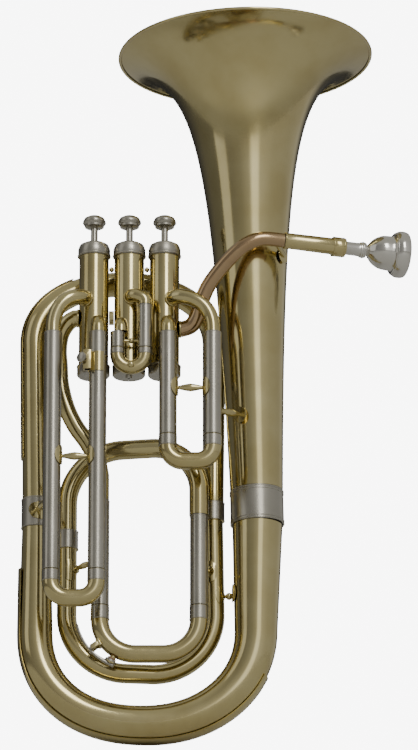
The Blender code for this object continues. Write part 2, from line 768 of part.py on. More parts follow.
def make_water_key():
    hinge = water_key_pivot()
    out = water_key_out()
    along = water_key_along()
    face = nipple_out()
    cork_start = water_key_nipple() + face * GAP
    cork = 0.0018
    turned("water_key_cork", [(0.0, cork), (0.0042, cork), (0.0042, 0.0), (0.0, 0.0)], "cork",
           cork_start, face, False, 12)
    cup_start = cork_start + face * (cork + GAP)
    cup = turned("water_key_cup", [(0.0, 0.0034), (0.0036, 0.0034), (0.0055, 0.0020), (0.0055, 0.0), (0.0, 0.0)],
                 "nickel", cup_start, face, False, 12)
    tip = hinge - along * 0.0250 + out * 0.0030
    arm = rod("water_key_arm", cup_start + face * 0.0020, hinge, 0.0014, "nickel")
    tail = rod("water_key_tail", hinge, tip, 0.0014, "nickel")
    side = Vector((0.0, 0.0048, 0.0))
    hub = rod("water_key_hub", hinge - side, hinge + side, 0.0019, "nickel")
    touch = block("water_key_touch", (0.0018, 0.0060, 0.0080), tip, "nickel")
    touch.rotation_euler = (0.0, water_key_slope(), 0.0)
    arm = join(arm, tail, hub, touch, cup)
    arm.name = "water_key"


def make_water_key_spring():
    """A small two-turn torsion spring round the hinge, on the side away from the hub's end."""
    hinge = water_key_pivot()
    route = []
    for i in range(17):
        angle = 2.0 * math.pi * i / 8
        place = Vector((math.cos(angle) * 0.0024, 0.0072 + 0.0011 * i / 8, math.sin(angle) * 0.0024))
        route.append(hinge + place)
    plain_tube("water_key_spring", route, 0.0004, "steel", None, 6)


# ---------------------------------------------------------------- valves
def make_casing(number):
    place = Vector((valve_x(number), VALVE_Y, 0.0))
    ring("valve_casing_%d" % number, CASING_RADIUS, *CASING_Z, 0.0006, "brass", place)
    inner = CASING_RADIUS + 0.0004
    top = 0.4765
    turned("top_cap_%d" % number, [
        (0.0038, top), (0.0098, top), (0.0134, top - 0.0020), (CAP_RADIUS, top - 0.0062),
        (CAP_RADIUS, 0.4636), (CAP_RADIUS - 0.0006, 0.4628), (inner, 0.4628), (inner, top - 0.0037),
        (0.0038, top - 0.0037),
    ], "nickel", place)
    low = 0.3455
    turned("bottom_cap_%d" % number, [
        (inner, 0.3556), (CAP_RADIUS, 0.3556), (CAP_RADIUS + 0.0003, 0.3540),
        (CAP_RADIUS + 0.0003, low + 0.0012), (CAP_RADIUS - 0.0006, low), (0.0034, low),
        (0.0028, low - 0.0018), (0.0010, low - 0.0018), (0.0010, low + 0.0028), (inner, low + 0.0028),
    ], "nickel", place)


def make_piston(number):
    place = Vector((valve_x(number), VALVE_Y, 0.0))
    low, top = PISTON_Z
    piston = turned("piston_%d" % number, [
        (0.0, top), (PISTON_RADIUS, top), (PISTON_RADIUS, low), (0.0045, low), (0.0045, low + 0.0010),
        (PISTON_RADIUS - 0.0009, low + 0.0010), (PISTON_RADIUS - 0.0009, top - 0.0025), (0.0, top - 0.0025),
    ], "nickel", place, UP, False)
    piston = as_mesh(piston)
    for port, (height, turn) in enumerate(((0.4140, 20), (0.4400, 75))):
        way = Vector((math.cos(math.radians(turn)), math.sin(math.radians(turn)), 0.0)) * 0.0200
        middle = place + UP * height
        hole = rod("piston_%d_port_%d" % (number, port), middle - way, middle + way, 0.0060)
        use_tool(piston, hole, "DIFFERENCE")


def make_button(number):
    """The finger button and its stem, which screws into the piston."""
    place = Vector((valve_x(number), VALVE_Y, 0.0))
    turned("finger_button_%d" % number, [
        (0.0, 0.5040), (0.0060, 0.5034), (0.0092, 0.5016), (0.0107, 0.4986), (0.0104, 0.4962),
        (0.0092, 0.4950), (0.0090, 0.4932), (0.0070, 0.4922), (0.0033, 0.4920),
        (0.0033, PISTON_Z[1] + GAP), (0.0, PISTON_Z[1] + GAP),
    ], "nickel", place, UP, False, 16)


def make_spring(number):
    """The compression spring under a piston, standing on the bottom cap."""
    low = 0.3455 + 0.0028 + GAP
    top = PISTON_Z[0] - GAP
    wire = 0.0006
    turns = 4
    sides = 8
    count = turns * sides
    route = []
    for i in range(count + 1):
        angle = 2.0 * math.pi * i / sides
        height = lerp(low + wire, top - wire, i / count)
        route.append(Vector((valve_x(number) + 0.0095 * math.cos(angle),
                             VALVE_Y + 0.0095 * math.sin(angle), height)))
    plain_tube("valve_spring_%d" % number, route, wire, "steel", None, 4)


def make_valves():
    for number in (1, 2, 3):
        make_casing(number)
        make_piston(number)
        make_button(number)
        make_spring(number)
    for first, second, link_z in ((1, 2, 0.3920), (2, 3, 0.4030)):
        name = "%d%d" % (first, second)
        right = Vector((valve_x(first), VALVE_Y, link_z))
        left = Vector((valve_x(second), VALVE_Y, link_z))
        start, end = between(left, CASING_RADIUS, right, CASING_RADIUS)
        plain_tube("valve_link_" + name, [start, end], LEG_RADIUS)
        rise = Vector((0.0, 0.0, 0.4509 - link_z))
        ball_brace("valve_brace_" + name, start + rise, end + rise, 0.0026, 0.0014)


# ---------------------------------------------------------------- mouthpipe and mouthpiece
def make_mouthpipe():
    end = Vector((VALVE_1_X + CASING_RADIUS + 1.5 * GAP, VALVE_Y, 0.3920))
    stub = Vector((0.0015, 0.0, 0.0))
    route = smooth([RECEIVER_START - RECEIVER_AXIS * GAP, *LEADPIPE_ROUTE, end + stub], 2)
    route.append(end)
    radii = route_radii(route, [(0.0, LEADPIPE_RADII[0]), (1.0, LEADPIPE_RADII[1])])
    tube("leadpipe", route, radii, "rose_brass")
    turned("receiver", [
        (0.0088, RECEIVER_LENGTH), (0.0092, 0.0560), (0.0092, 0.0480), (0.0078, 0.0462), (0.0074, 0.0),
        (0.0060, 0.0), (0.0060, 0.0340), (0.0068, RECEIVER_LENGTH),
    ], "brass", RECEIVER_START, RECEIVER_AXIS, True, 16)


def make_mouthpiece():
    """Cup, throat, bead and tapered shank. It stands in the receiver and pulls out along its axis."""
    turned("mouthpiece", [
        (0.0186, 0.1184), (0.0209, 0.1170), (0.0219, 0.1132), (0.0214, 0.1090), (0.0188, 0.1048), (0.0165, 0.1030),
        (0.0156, 0.0937), (0.0121, 0.0865), (0.0073, 0.0819), (0.0048, 0.0797), (0.0071, 0.0782), (0.0072, 0.0735),
        (0.0064, 0.0716), (0.0062, 0.0580), (0.0055, 0.0380), (0.0040, 0.0380), (0.0030, 0.0790), (0.0060, 0.0890),
        (0.0118, 0.0980), (0.0130, 0.1100), (0.0152, 0.1168),
    ], "silver", RECEIVER_START, RECEIVER_AXIS, True, 16)


# ---------------------------------------------------------------- braces and lyre holder
def make_braces():
    bell_at, bell_r = bell_point(0.4660)
    out = Vector((0.84, -0.54, 0.06)).normalized()
    foot = bell_at + out * (bell_r + 0.0014)
    pipe = Vector((0.1190, -0.0512, 0.4720))
    start, end = between(pipe, 0.0073, foot, -GAP)
    stay = rod("leadpipe_brace", start, end + out * 0.0010, 0.0022)
    plate = turned("leadpipe_brace_plate", [(0.0, 0.0012), (0.0066, 0.0009), (0.0072, 0.0), (0.0, 0.0)],
                   "brass", foot, out, False, 12)
    join(stay, plate)

    bell_at, bell_r = bell_point(0.3050)
    sleeve = Vector((SLIDES[1]["right_x"], SLIDES[1]["y"], 0.3050))
    foot = bell_at + Vector((-0.46, -0.88, 0.0)) * (bell_r + 0.0024) + UP * 0.0040
    start, end = between(sleeve, SLEEVE_RADIUS + 0.0001, foot, 0.0)
    flange_brace("bell_brace_upper", start, end, 0.0036, 0.0074)

    leg = Vector((INNER_LEG_X + 0.0010, INNER_LEG_LOW_Y, 0.1430))
    tail = Vector((BOW_HALF_SPAN, 0.0, 0.1430))
    start, end = between(leg, LOOP_RADIUS + 0.0004, tail, 0.0210)
    ball_brace("bell_brace_lower", start, end, 0.0034, 0.0016)

    sleeve = Vector((TUNING_RIGHT_X, TUNING_Y, 0.1650))
    leg = Vector((INNER_LEG_X + 0.0008, INNER_LEG_LOW_Y, 0.1650))
    start, end = between(sleeve, TUNING_RADIUS + 0.0001, leg, LOOP_RADIUS + 0.0004)
    flange_brace("tuning_brace", start, end, 0.0036, 0.0050)

    leg = Vector((LOOP_LEFT_X, LOOP_LEFT_Y, 0.1660))
    sleeve = Vector((TUNING_LEFT_X, TUNING_Y, 0.1720))
    start, end = between(leg, LOOP_RADIUS + 0.0008, sleeve, TUNING_RADIUS + 0.0003)
    flange_brace("loop_brace", start, end, 0.0044, 0.0044)


LYRE_Z = (0.3405, 0.3590)


def make_lyre_holder():
    """A square socket for a music lyre, soldered to the right sleeve of slide 3, with its thumbscrew."""
    low, high = LYRE_Z
    middle = 0.5 * (low + high)
    sleeve = Vector((SLIDES[3]["right_x"], SLIDES[3]["y"], 0.0))
    socket = sleeve + Vector((-0.0097, -0.0096, middle))
    body = block("lyre_holder", (0.0074, 0.0074, high - low), socket)
    body = as_mesh(body)
    use_tool(body, block("lyre_socket_cut", (0.0046, 0.0046, 0.0300), socket), "DIFFERENCE")
    saddle = ring("lyre_saddle", SLEEVE_RADIUS + 0.0012, low, high, 0.0008, "brass", sleeve)
    keep = block("lyre_saddle_keep", (0.0200, 0.0200, 0.0300), sleeve + Vector((-0.0045, -0.0115, middle)))
    saddle = as_mesh(saddle)
    use_tool(saddle, keep, "INTERSECT")
    use_tool(body, saddle, "UNION")
    out = Vector((-0.55, -0.83, 0.0)).normalized()
    way = rod("lyre_screw_cut", socket, socket + out * 0.0100, 0.0017)
    use_tool(body, way, "DIFFERENCE")
    start = socket + out * 0.0034
    turned("lyre_screw", [
        (0.0, 0.0072), (0.0040, 0.0072), (0.0049, 0.0066), (0.0049, 0.0052), (0.0042, 0.0048), (0.0013, 0.0046),
        (0.0013, 0.0), (0.0, 0.0),
    ], "nickel", start, out, False, 16)


def shade_all():
    for piece in HORN.objects:
        if piece.type == "MESH":
            piece.data.shade_smooth()
            piece.data.set_sharp_from_angle(angle=math.radians(35))


def main():
    make_bell()
    make_bottom_bow()
    make_bottom_guard()
    make_joint_ferrules()
    make_top_bow()
    make_top_guard()
    make_inner_loop()
    make_arch()
    make_exit_tube()
    make_tuning_slide()
    make_water_key()
    make_water_key_spring()
    make_slides()
    make_valves()
    make_mouthpipe()
    make_mouthpiece()
    make_braces()
    make_lyre_holder()
    shade_all()


main()
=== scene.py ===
"""Finished look of an upright three-valve baritone horn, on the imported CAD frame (metres, +Z up)."""
import json
import math

import bmesh
import bpy
from mathutils import Matrix, Vector

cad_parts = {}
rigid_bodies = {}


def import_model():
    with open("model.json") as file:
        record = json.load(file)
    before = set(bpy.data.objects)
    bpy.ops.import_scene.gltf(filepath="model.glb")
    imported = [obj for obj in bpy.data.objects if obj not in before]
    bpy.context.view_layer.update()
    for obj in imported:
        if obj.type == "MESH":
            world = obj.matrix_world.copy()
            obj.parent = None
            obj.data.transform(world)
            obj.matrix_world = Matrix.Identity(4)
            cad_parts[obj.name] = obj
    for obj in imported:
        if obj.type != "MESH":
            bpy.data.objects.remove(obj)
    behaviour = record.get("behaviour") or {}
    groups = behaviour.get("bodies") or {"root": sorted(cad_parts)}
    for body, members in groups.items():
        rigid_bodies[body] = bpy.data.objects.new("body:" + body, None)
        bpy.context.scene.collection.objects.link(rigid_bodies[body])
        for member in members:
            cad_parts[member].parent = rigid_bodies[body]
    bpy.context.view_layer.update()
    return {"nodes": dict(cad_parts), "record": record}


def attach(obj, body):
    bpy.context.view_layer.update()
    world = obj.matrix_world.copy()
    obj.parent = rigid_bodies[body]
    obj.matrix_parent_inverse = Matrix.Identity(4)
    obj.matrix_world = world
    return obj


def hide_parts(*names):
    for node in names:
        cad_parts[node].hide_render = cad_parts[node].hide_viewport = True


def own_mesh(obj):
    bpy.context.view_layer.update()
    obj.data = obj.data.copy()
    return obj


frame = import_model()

# ---------------------------------------------------------------- fineness of the shown surfaces
FINE = 6                  # steps for each step of the CAD route
SIDES = 36                # sides of a round tube
TURNS = 64                # steps of a turned piece
BALL_STEPS = 14           # steps over a brace's ball
BOW_STEPS = 72            # steps along the main bow
TOP_BOW_STEPS = 60        # steps along the top bow
GUARD_STEPS = 16          # steps across a guard strip
BELL_STEPS = 54           # rings of the bell's flare
BELL_TURNS = 128          # steps round the bell
SHARP_ANGLE = math.radians(38)      # edges sharper than this stay hard

# ---------------------------------------------------------------- dimensions (metres), as in the CAD
GAP = 0.0003              # clearance between touching pieces
WALL = 0.0006             # sheet thickness of tubes and bell
UP = Vector((0.0, 0.0, 1.0))

# bell: its axis leans a little towards the valves
BELL_FOOT = Vector((0.1018, 0.0, 0.2427))
BELL_LEAN = 0.0221
BELL_LENGTH = 0.4339
RIM_RADIUS = 0.1187
RIM_BEAD = 0.0016
FLARE_START = 0.0191
FLARE_POWER = 0.498

# main bow, the loop that carries the bell
BOW_HALF_SPAN = 0.1010
BOW_CENTRE_Z = 0.1084
BOW_DROP = 0.0893
BOW_SQUARENESS = (2.09, 2.27)
BELL_END_RADIUS = 0.0232
BELL_FERRULE_RADIUS = 0.0247
BELL_FERRULE_LENGTH = 0.0325
BOW_RIGHT_RADIUS = 0.0198
BOW_RADIUS = 0.0176
BOW_LEFT_RADIUS = 0.0156
GUARD_THICKNESS = 0.0009
GUARD_CLEARANCE = 0.0006
GUARD_LEFT_RISE = 0.0580
GUARD_ANGLES = (-121.0, -59.0)
GUARD_RIGHT_END = math.pi / 8.0
LEFT_TUBE_RADIUS = 0.0134
LEFT_FERRULE = (0.2062, 0.2345)
LEFT_FERRULE_RADIUS = 0.0142
TOP_BOW_CENTRE = Vector((-0.0208, 0.0, 0.3876))
TOP_BOW_HALF_SPAN = 0.0834
TOP_BOW_RISE = 0.0597
TOP_BOW_SQUARENESS = 2.15
TOP_BOW_RADIUS = 0.0116
TOP_GUARD_DROP = 0.1130
INNER_LEG_X = 0.0618
INNER_LEG_TOP_Y = 0.0228
INNER_LEG_LOW_Y = 0.0080
INNER_LEG_RADIUS = 0.0098
INNER_FERRULE = (0.2156, 0.2341)

# inner loop and arch, between the top bow and the main tuning slide
LOOP_LEFT_X = -0.0728
LOOP_RIGHT_X = 0.0632
LOOP_LEFT_Y = 0.0050
LOOP_BEND = 0.0563
LOOP_LOW_Z = 0.0690
LOOP_RADIUS = 0.0091
LOOP_FERRULE = (0.1872, 0.2056)
ARCH_RADIUS = 0.0090
ARCH_LEFT_BEND = 0.0500
ARCH_RIGHT_BEND = 0.0437
ARCH_TOP_Z = 0.2815

# main tuning slide
TUNING_Y = -0.0180
TUNING_LEFT_X = -0.0418
TUNING_RIGHT_X = 0.0486
TUNING_BEND = 0.0324
TUNING_RADIUS = 0.0083
TUNING_SLEEVE_TOPS = (0.2277, 0.2132)
TUNING_SLEEVE_END = 0.1266
TUNING_FERRULE_END = 0.1137
TUNING_LOW_Z = 0.0808
TUNING_LEG = 0.0700
WATER_KEY_ANGLE = math.radians(214)
WATER_KEY_REACH = 0.0480
NIPPLE_ANGLE = math.radians(240)

# slides: outer sleeves, inner legs and bows
SLEEVE_RADIUS = 0.0082
LEG_RADIUS = 0.0066
SLIDES = {
    1: {"left_x": 0.0201, "right_x": 0.0613, "y": -0.0525, "top": 0.3802, "end": 0.2801,
        "ferrule": 0.0106, "low": 0.2549, "bend": 0.0142, "leg": 0.0700, "brace_z": 0.3262},
    2: {"left_x": -0.0266, "right_x": -0.0012, "y": -0.0505, "top": 0.3811, "end": 0.3654,
        "ferrule": 0.0059, "low": 0.3466, "bend": 0.0123, "leg": 0.0140, "brace_z": 0.3726},
    3: {"left_x": -0.0860, "right_x": -0.0445, "y": -0.0525, "top": 0.3802, "end": 0.1503,
        "ferrule": 0.0105, "low": 0.1237, "bend": 0.0157, "leg": 0.1100, "brace_z": 0.2597},
}
SMALL_SLEEVE_RADIUS = 0.0066
SMALL_LEG_RADIUS = 0.0054
SLIDE_2_RIGHT_TOP = 0.4076
# crooks: height of the port, its turn in degrees, tube radius, lift off the leg, reach off the valve
LARGE_CROOK = (0.4180, 30.0, 0.0070, 0.034, 0.016)
SMALL_CROOK = (0.4188, 8.0, 0.0064, 0.009, 0.009)

# lyre holder, on the right sleeve of slide 3
LYRE_Z = (0.3405, 0.3590)

# valves
VALVE_PITCH = 0.0328
VALVE_1_X = 0.0165
VALVE_Y = -0.0280
CASING_RADIUS = 0.0138
CASING_Z = (0.3487, 0.4725)
CAP_RADIUS = 0.0150
PISTON_Z = (0.3990, 0.4690)
TOP_CAP_Z = (0.4628, 0.4765)
BOTTOM_CAP_Z = (0.3455, 0.3556)
BOTTOM_CAP_FLOOR = 0.0028     # thickness of the bottom cap's end
EXIT_PORT_Z = 0.4027
EXIT_RADIUS = 0.0079
LEADPIPE_PORT_Z = 0.3920

# mouthpipe
RECEIVER_START = Vector((0.1275, -0.0500, 0.4719))
RECEIVER_AXIS = Vector((0.9660, 0.2588, -0.0300)).normalized()
RECEIVER_LENGTH = 0.0586
LEADPIPE_RADII = (0.0066, 0.0074)
LEADPIPE_ROUTE = [Vector(point) for point in (
    (0.1060, -0.0545, 0.4716),
    (0.0905, -0.0545, 0.4650),
    (0.0766, -0.0505, 0.4533),
    (0.0642, -0.0450, 0.4395),
    (0.0560, -0.0400, 0.4279),
    (0.0503, -0.0355, 0.4148),
    (0.0464, -0.0315, 0.4031),
    (0.0413, -0.0290, 0.3952),
)]
EXIT_ROUTE = [Vector(point) for point in (
    (-0.0728, -0.0262, 0.3990),
    (-0.0792, -0.0240, 0.3890),
    (-0.0815, -0.0220, 0.3740),
    (-0.0805, -0.0215, 0.3580),
    (-0.0797, -0.0210, 0.3430),
    (-0.0768, -0.0205, 0.3280),
    (-0.0720, -0.0200, 0.3130),
    (-0.0645, -0.0190, 0.2985),
    (-0.0540, -0.0182, 0.2835),
    (-0.0450, -0.0180, 0.2660),
)]

# studio
CAMERA_TARGET = Vector((0.05787, 0.0, 0.3570))
CAMERA_DISTANCE = 5.5
CAMERA_RISE = math.radians(-19.5)
CAMERA_LENS = 283.9
WHITE = 8.0                   # background behind the horn
# brightness of the room round the horn; 0 degrees is the camera's side and +90 is +X
ROOM = [(-180, 0.02), (-150, 0.05), (-118, 0.14), (-60, 0.19), (-20, 0.31), (2, 0.48), (9, 1.35), (22, 1.30),
        (28, 0.62), (60, 0.46), (105, 0.40), (135, 0.46), (152, 0.08), (180, 0.02)]
FLOOR_HALF_SIZE = 40.0
FLOOR_Z = -0.0015
# place, width, height and power of each light
LIGHTS = {
    "key": ((1.0, -3.4, 2.6), 1.2, 2.0, 36.0),
    "fill": ((-2.8, -1.4, 1.8), 1.6, 2.6, 7.0),
}

# ---------------------------------------------------------------- finishes
# slot in the record, base colour, darker tone of the colour, roughness
METALS = {
    "brass": ("lacquered_brass", (0.60, 0.515, 0.255), (0.52, 0.43, 0.19), 0.13),
    "nickel": ("nickel_silver", (0.47, 0.445, 0.375), (0.41, 0.385, 0.315), 0.26),
    "silver": ("silver_plate", (0.70, 0.68, 0.62), (0.60, 0.57, 0.50), 0.12),
    "rose_brass": ("rose_brass", (0.50, 0.36, 0.20), (0.41, 0.27, 0.14), 0.13),
    "steel": ("spring_steel", (0.45, 0.45, 0.46), (0.33, 0.33, 0.34), 0.26),
}


def node(tree, kind, **values):
    made = tree.nodes.new(kind)
    for key, value in values.items():
        if hasattr(made, key):
            setattr(made, key, value)
        else:
            made.inputs[key.replace("_", " ")].default_value = value
    return made


def stretched(tree, scale):
    """Object coordinates, stretched."""
    coords = node(tree, "ShaderNodeTexCoord")
    mapping = node(tree, "ShaderNodeMapping")
    mapping.inputs["Scale"].default_value = scale
    tree.links.new(coords.outputs["Object"], mapping.inputs["Vector"])
    return mapping.outputs["Vector"]


def noise(tree, scale, detail, stretch=(1.0, 1.0, 1.0)):
    made = node(tree, "ShaderNodeTexNoise", Scale=scale, Detail=detail)
    tree.links.new(stretched(tree, stretch), made.inputs["Vector"])
    return made.outputs["Fac"]


def ranged(tree, value, low, high, to_low, to_high):
    made = node(tree, "ShaderNodeMapRange")
    for socket, number in zip(("From Min", "From Max", "To Min", "To Max"), (low, high, to_low, to_high)):
        made.inputs[socket].default_value = number
    tree.links.new(value, made.inputs["Value"])
    return made.outputs["Result"]


def mixed(tree, factor, first, second):
    made = node(tree, "ShaderNodeMix", data_type="RGBA")
    made.inputs["A"].default_value = (*first, 1.0)
    made.inputs["B"].default_value = (*second, 1.0)
    tree.links.new(factor, made.inputs["Factor"])
    return made.outputs["Result"]


def bumped(tree, height, strength, distance, under=None):
    made = node(tree, "ShaderNodeBump", Strength=strength, Distance=distance)
    tree.links.new(height, made.inputs["Height"])
    if under:
        tree.links.new(under, made.inputs["Normal"])
    return made.outputs["Normal"]


def new_material(name):
    material = bpy.data.materials.new(name)
    material.use_nodes = True
    return material, material.node_tree, material.node_tree.nodes["Principled BSDF"]


def make_metal(kind):
    """Polished metal: drifting tone, smudged gloss, hairline scratches and a slight hand-made ripple."""
    slot, colour, dark, roughness = METALS[kind]
    material, tree, shader = new_material("scene_" + slot)
    tone = ranged(tree, noise(tree, 26.0, 4.0), 0.35, 0.70, 0.0, 1.0)
    tree.links.new(mixed(tree, tone, colour, dark), shader.inputs["Base Color"])
    smudge = noise(tree, 60.0, 5.0, (1.0, 1.0, 0.4))
    gloss = ranged(tree, smudge, 0.30, 0.75, roughness * 0.75, roughness * 1.5)
    tree.links.new(gloss, shader.inputs["Roughness"])
    ripple = bumped(tree, noise(tree, 22.0, 0.0), 0.12, 0.0003)
    hairs = noise(tree, 700.0, 2.0, (1.0, 1.0, 0.15))
    tree.links.new(bumped(tree, hairs, 0.02, 0.00003, ripple), shader.inputs["Normal"])
    shader.inputs["Metallic"].default_value = 1.0
    if kind in ("brass", "rose_brass"):
        shader.inputs["Coat Weight"].default_value = 0.35
        shader.inputs["Coat Roughness"].default_value = 0.06
    return material


def make_cork():
    material, tree, shader = new_material("scene_cork")
    grain = noise(tree, 1400.0, 6.0)
    factor = ranged(tree, grain, 0.35, 0.65, 0.0, 1.0)
    tree.links.new(mixed(tree, factor, (0.46, 0.30, 0.17), (0.20, 0.11, 0.06)), shader.inputs["Base Color"])
    tree.links.new(ranged(tree, grain, 0.3, 0.7, 0.75, 0.95), shader.inputs["Roughness"])
    tree.links.new(bumped(tree, grain, 0.5, 0.0003), shader.inputs["Normal"])
    return material


MATERIALS = {kind: make_metal(kind) for kind in METALS}
MATERIALS["cork"] = make_cork()
SLOTS = {kind: values[0] for kind, values in METALS.items()}
SLOTS["cork"] = "cork"

# OWNER names the CAD node of each piece that isn't named after its own
LOOKS = bpy.data.collections.new("looks")
CUTTERS = bpy.data.collections.new("cutters")
bpy.context.scene.collection.children.link(LOOKS)
bpy.context.scene.collection.children.link(CUTTERS)
OWNER = {}


def add_object(name, data, kind):
    """A new piece. Its name is its CAD node's, with _look added, or OWNER says which node it belongs to."""
    piece = bpy.data.objects.new(name + "_look", data)
    data.materials.clear()
    data.materials.append(MATERIALS[kind])
    LOOKS.objects.link(piece)
    return piece


def soft_profile(points):
    """The same profile with its corners eased, each stretch cut into short steps."""
    rounded = smooth([Vector((radius, 0.0, height)) for radius, height in points], 1)
    return [(max(point.x, 0.0), point.z) for point in rounded]


# ---------------------------------------------------------------- places and routes
def valve_x(number):
    return VALVE_1_X - (number - 1) * VALVE_PITCH


def valve_place(number, z=0.0):
    """The point of a valve's axis at height z."""
    return Vector((valve_x(number), VALVE_Y, z))


def straight_ahead(turn):
    """The way out of a valve at an angle that turns from straight ahead to +X."""
    return Vector((math.sin(turn), -math.cos(turn), 0.0))


def lerp(a, b, t):
    return a + (b - a) * t


def bezier(start, start_handle, end_handle, end, steps):
    """Points of a cubic curve, both ends included."""
    steps *= FINE
    points = []
    for i in range(steps + 1):
        t = i / steps
        s = 1.0 - t
        points.append(s**3 * start + 3 * s * s * t * start_handle + 3 * s * t * t * end_handle + t**3 * end)
    return points


def quarter(centre, first, second, steps):
    """Points of a quarter turn from centre + first to centre + second."""
    steps *= FINE
    points = []
    for i in range(steps + 1):
        angle = 0.5 * math.pi * i / steps
        points.append(centre + first * math.cos(angle) + second * math.sin(angle))
    return points


def u_route(left_x, right_x, y, top_z, low_z, bend, steps):
    """Down the left leg, round the bottom and up the right leg, in the plane Y = y."""
    left = Vector((left_x + bend, y, low_z + bend))
    right = Vector((right_x - bend, y, low_z + bend))
    side = Vector((bend, 0.0, 0.0))
    down = Vector((0.0, 0.0, -bend))
    route = [Vector((left_x, y, top_z))]
    route += quarter(left, -side, down, steps)
    route += quarter(right, down, side, steps)
    route.append(Vector((right_x, y, top_z)))
    return route


def smooth(points, steps):
    """A smooth route through the points, with a number of steps from each one to the next."""
    route = []
    for i in range(len(points) - 1):
        before = points[max(i - 1, 0)]
        start = points[i]
        end = points[i + 1]
        after = points[min(i + 2, len(points) - 1)]
        route += bezier(start, start + (end - before) / 6.0, end - (after - start) / 6.0, end, steps)[:-1]
    route.append(points[-1])
    return route


def route_radii(route, pairs):
    """Radius at each point, blended along the route's length between (fraction, radius) pairs."""
    lengths = [0.0]
    for a, b in zip(route, route[1:]):
        lengths.append(lengths[-1] + (b - a).length)
    radii = []
    for length in lengths:
        t = length / lengths[-1]
        for (t0, r0), (t1, r1) in zip(pairs, pairs[1:]):
            if t <= t1 + 1e-9:
                radii.append(lerp(r0, r1, (t - t0) / (t1 - t0)))
                break
    return radii


# ---------------------------------------------------------------- shapes
def thicken(piece, thickness, offset=-1.0):
    solidify = piece.modifiers.new("wall", "SOLIDIFY")
    solidify.thickness = thickness
    solidify.offset = offset
    return piece


def set_route(curve, route, radii):
    """Lay a curve's centre line through the points, with a radius at each."""
    curve.dimensions = "3D"
    spline = curve.splines.new("POLY")
    spline.points.add(len(route) - 1)
    for point, place, radius in zip(spline.points, route, radii):
        point.co = (*place, 1.0)
        point.radius = radius


def tube(name, route, radii, kind="brass", wall=WALL, sides=SIDES):
    """A round tube along a route. With a wall it is hollow and open at both ends."""
    widest = max(radii)
    curve = bpy.data.curves.new(name, "CURVE")
    set_route(curve, route, [radius / widest for radius in radii])
    curve.fill_mode = "FULL"
    curve.bevel_mode = "ROUND"
    curve.bevel_depth = widest
    curve.bevel_resolution = sides // 2 - 2
    curve.use_fill_caps = not wall
    piece = add_object(name, curve, kind)
    return thicken(piece, wall) if wall else piece


def plain_tube(name, route, radius, kind="brass", wall=WALL, sides=SIDES):
    return tube(name, route, [radius] * len(route), kind, wall, sides)


def turned(name, profile, kind="brass", place=None, axis=UP, closed=True, steps=TURNS):
    """A turned piece. The profile is (radius, height) down its outer side, then up its inner side."""
    mesh = bpy.data.meshes.new(name)
    shape = bmesh.new()
    points = [shape.verts.new((radius, 0.0, height)) for radius, height in profile]
    for a, b in zip(points, points[1:]):
        shape.edges.new((a, b))
    if closed:
        shape.edges.new((points[-1], points[0]))
    shape.to_mesh(mesh)
    shape.free()
    piece = add_object(name, mesh, kind)
    screw = piece.modifiers.new("turn", "SCREW")
    screw.steps = steps
    screw.render_steps = steps
    screw.use_merge_vertices = True
    screw.merge_threshold = 0.00002
    piece.location = place or Vector()
    piece.rotation_mode = "QUATERNION"
    piece.rotation_quaternion = UP.rotation_difference(axis)
    return piece


def ring(name, radius, low, high, wall, kind="nickel", place=None, axis=UP, steps=TURNS):
    """A plain hollow ring between two heights on its axis."""
    profile = [(radius, high), (radius, low), (radius - wall, low), (radius - wall, high)]
    return turned(name, profile, kind, place, axis, True, steps)


def block(name, size, place, kind="brass"):
    mesh = bpy.data.meshes.new(name)
    shape = bmesh.new()
    bmesh.ops.create_cube(shape, size=1.0, matrix=Matrix.Diagonal((*size, 1.0)))
    shape.to_mesh(mesh)
    shape.free()
    piece = add_object(name, mesh, kind)
    piece.location = place
    edge = piece.modifiers.new("edge", "BEVEL")
    edge.width = 0.0003
    edge.segments = 3
    return piece


def rod(name, start, end, radius, kind="brass", sides=SIDES):
    return tube(name, [start, end], [radius, radius], kind, None, sides)


def as_mesh(piece):
    """The same piece as a plain mesh with its ends welded, ready to be joined or cut."""
    bpy.context.view_layer.update()
    graph = bpy.context.evaluated_depsgraph_get()
    mesh = bpy.data.meshes.new_from_object(piece.evaluated_get(graph))
    shape = bmesh.new()
    shape.from_mesh(mesh)
    bmesh.ops.remove_doubles(shape, verts=shape.verts, dist=0.000002)
    bmesh.ops.recalc_face_normals(shape, faces=shape.faces)
    shape.to_mesh(mesh)
    shape.free()
    name = piece.name
    place = piece.matrix_world.copy()
    bpy.data.objects.remove(piece, do_unlink=True)
    solid = bpy.data.objects.new(name, mesh)
    solid.matrix_world = place
    LOOKS.objects.link(solid)
    return solid


def hide_cutter(tool):
    CUTTERS.objects.link(tool)
    tool.hide_render = True
    tool.display_type = "WIRE"


def use_tool(base, tool, operation):
    """Cut, keep or add a tool's volume. The tool itself is hidden."""
    tool = as_mesh(tool)
    LOOKS.objects.unlink(tool)
    hide_cutter(tool)
    step = base.modifiers.new(tool.name, "BOOLEAN")
    step.operation = operation
    step.solver = "EXACT"
    step.object = tool


def join(node_name, *soldered):
    """The pieces all belong to one CAD node."""
    for piece in soldered:
        OWNER[piece.name] = node_name


def flange_brace(name, start, end, start_plate, end_plate, kind="brass"):
    """A turned brace: a round plate at each end, slim necks and a fuller middle."""
    length = (end - start).length
    neck = 0.0017
    plate = 0.0010
    belly = min(max(0.16 * length, neck), 0.0038)
    profile = [
        (0.0, length),
        (end_plate, length),
        (end_plate, length - plate),
        (neck, length - plate * 1.8),
        (belly * 0.85, length * 0.66),
        (belly, length * 0.5),
        (belly * 0.85, length * 0.34),
        (neck, plate * 1.8),
        (start_plate, plate),
        (start_plate, 0.0),
        (0.0, 0.0),
    ]
    return turned(name, profile, kind, start, (end - start).normalized(), False)


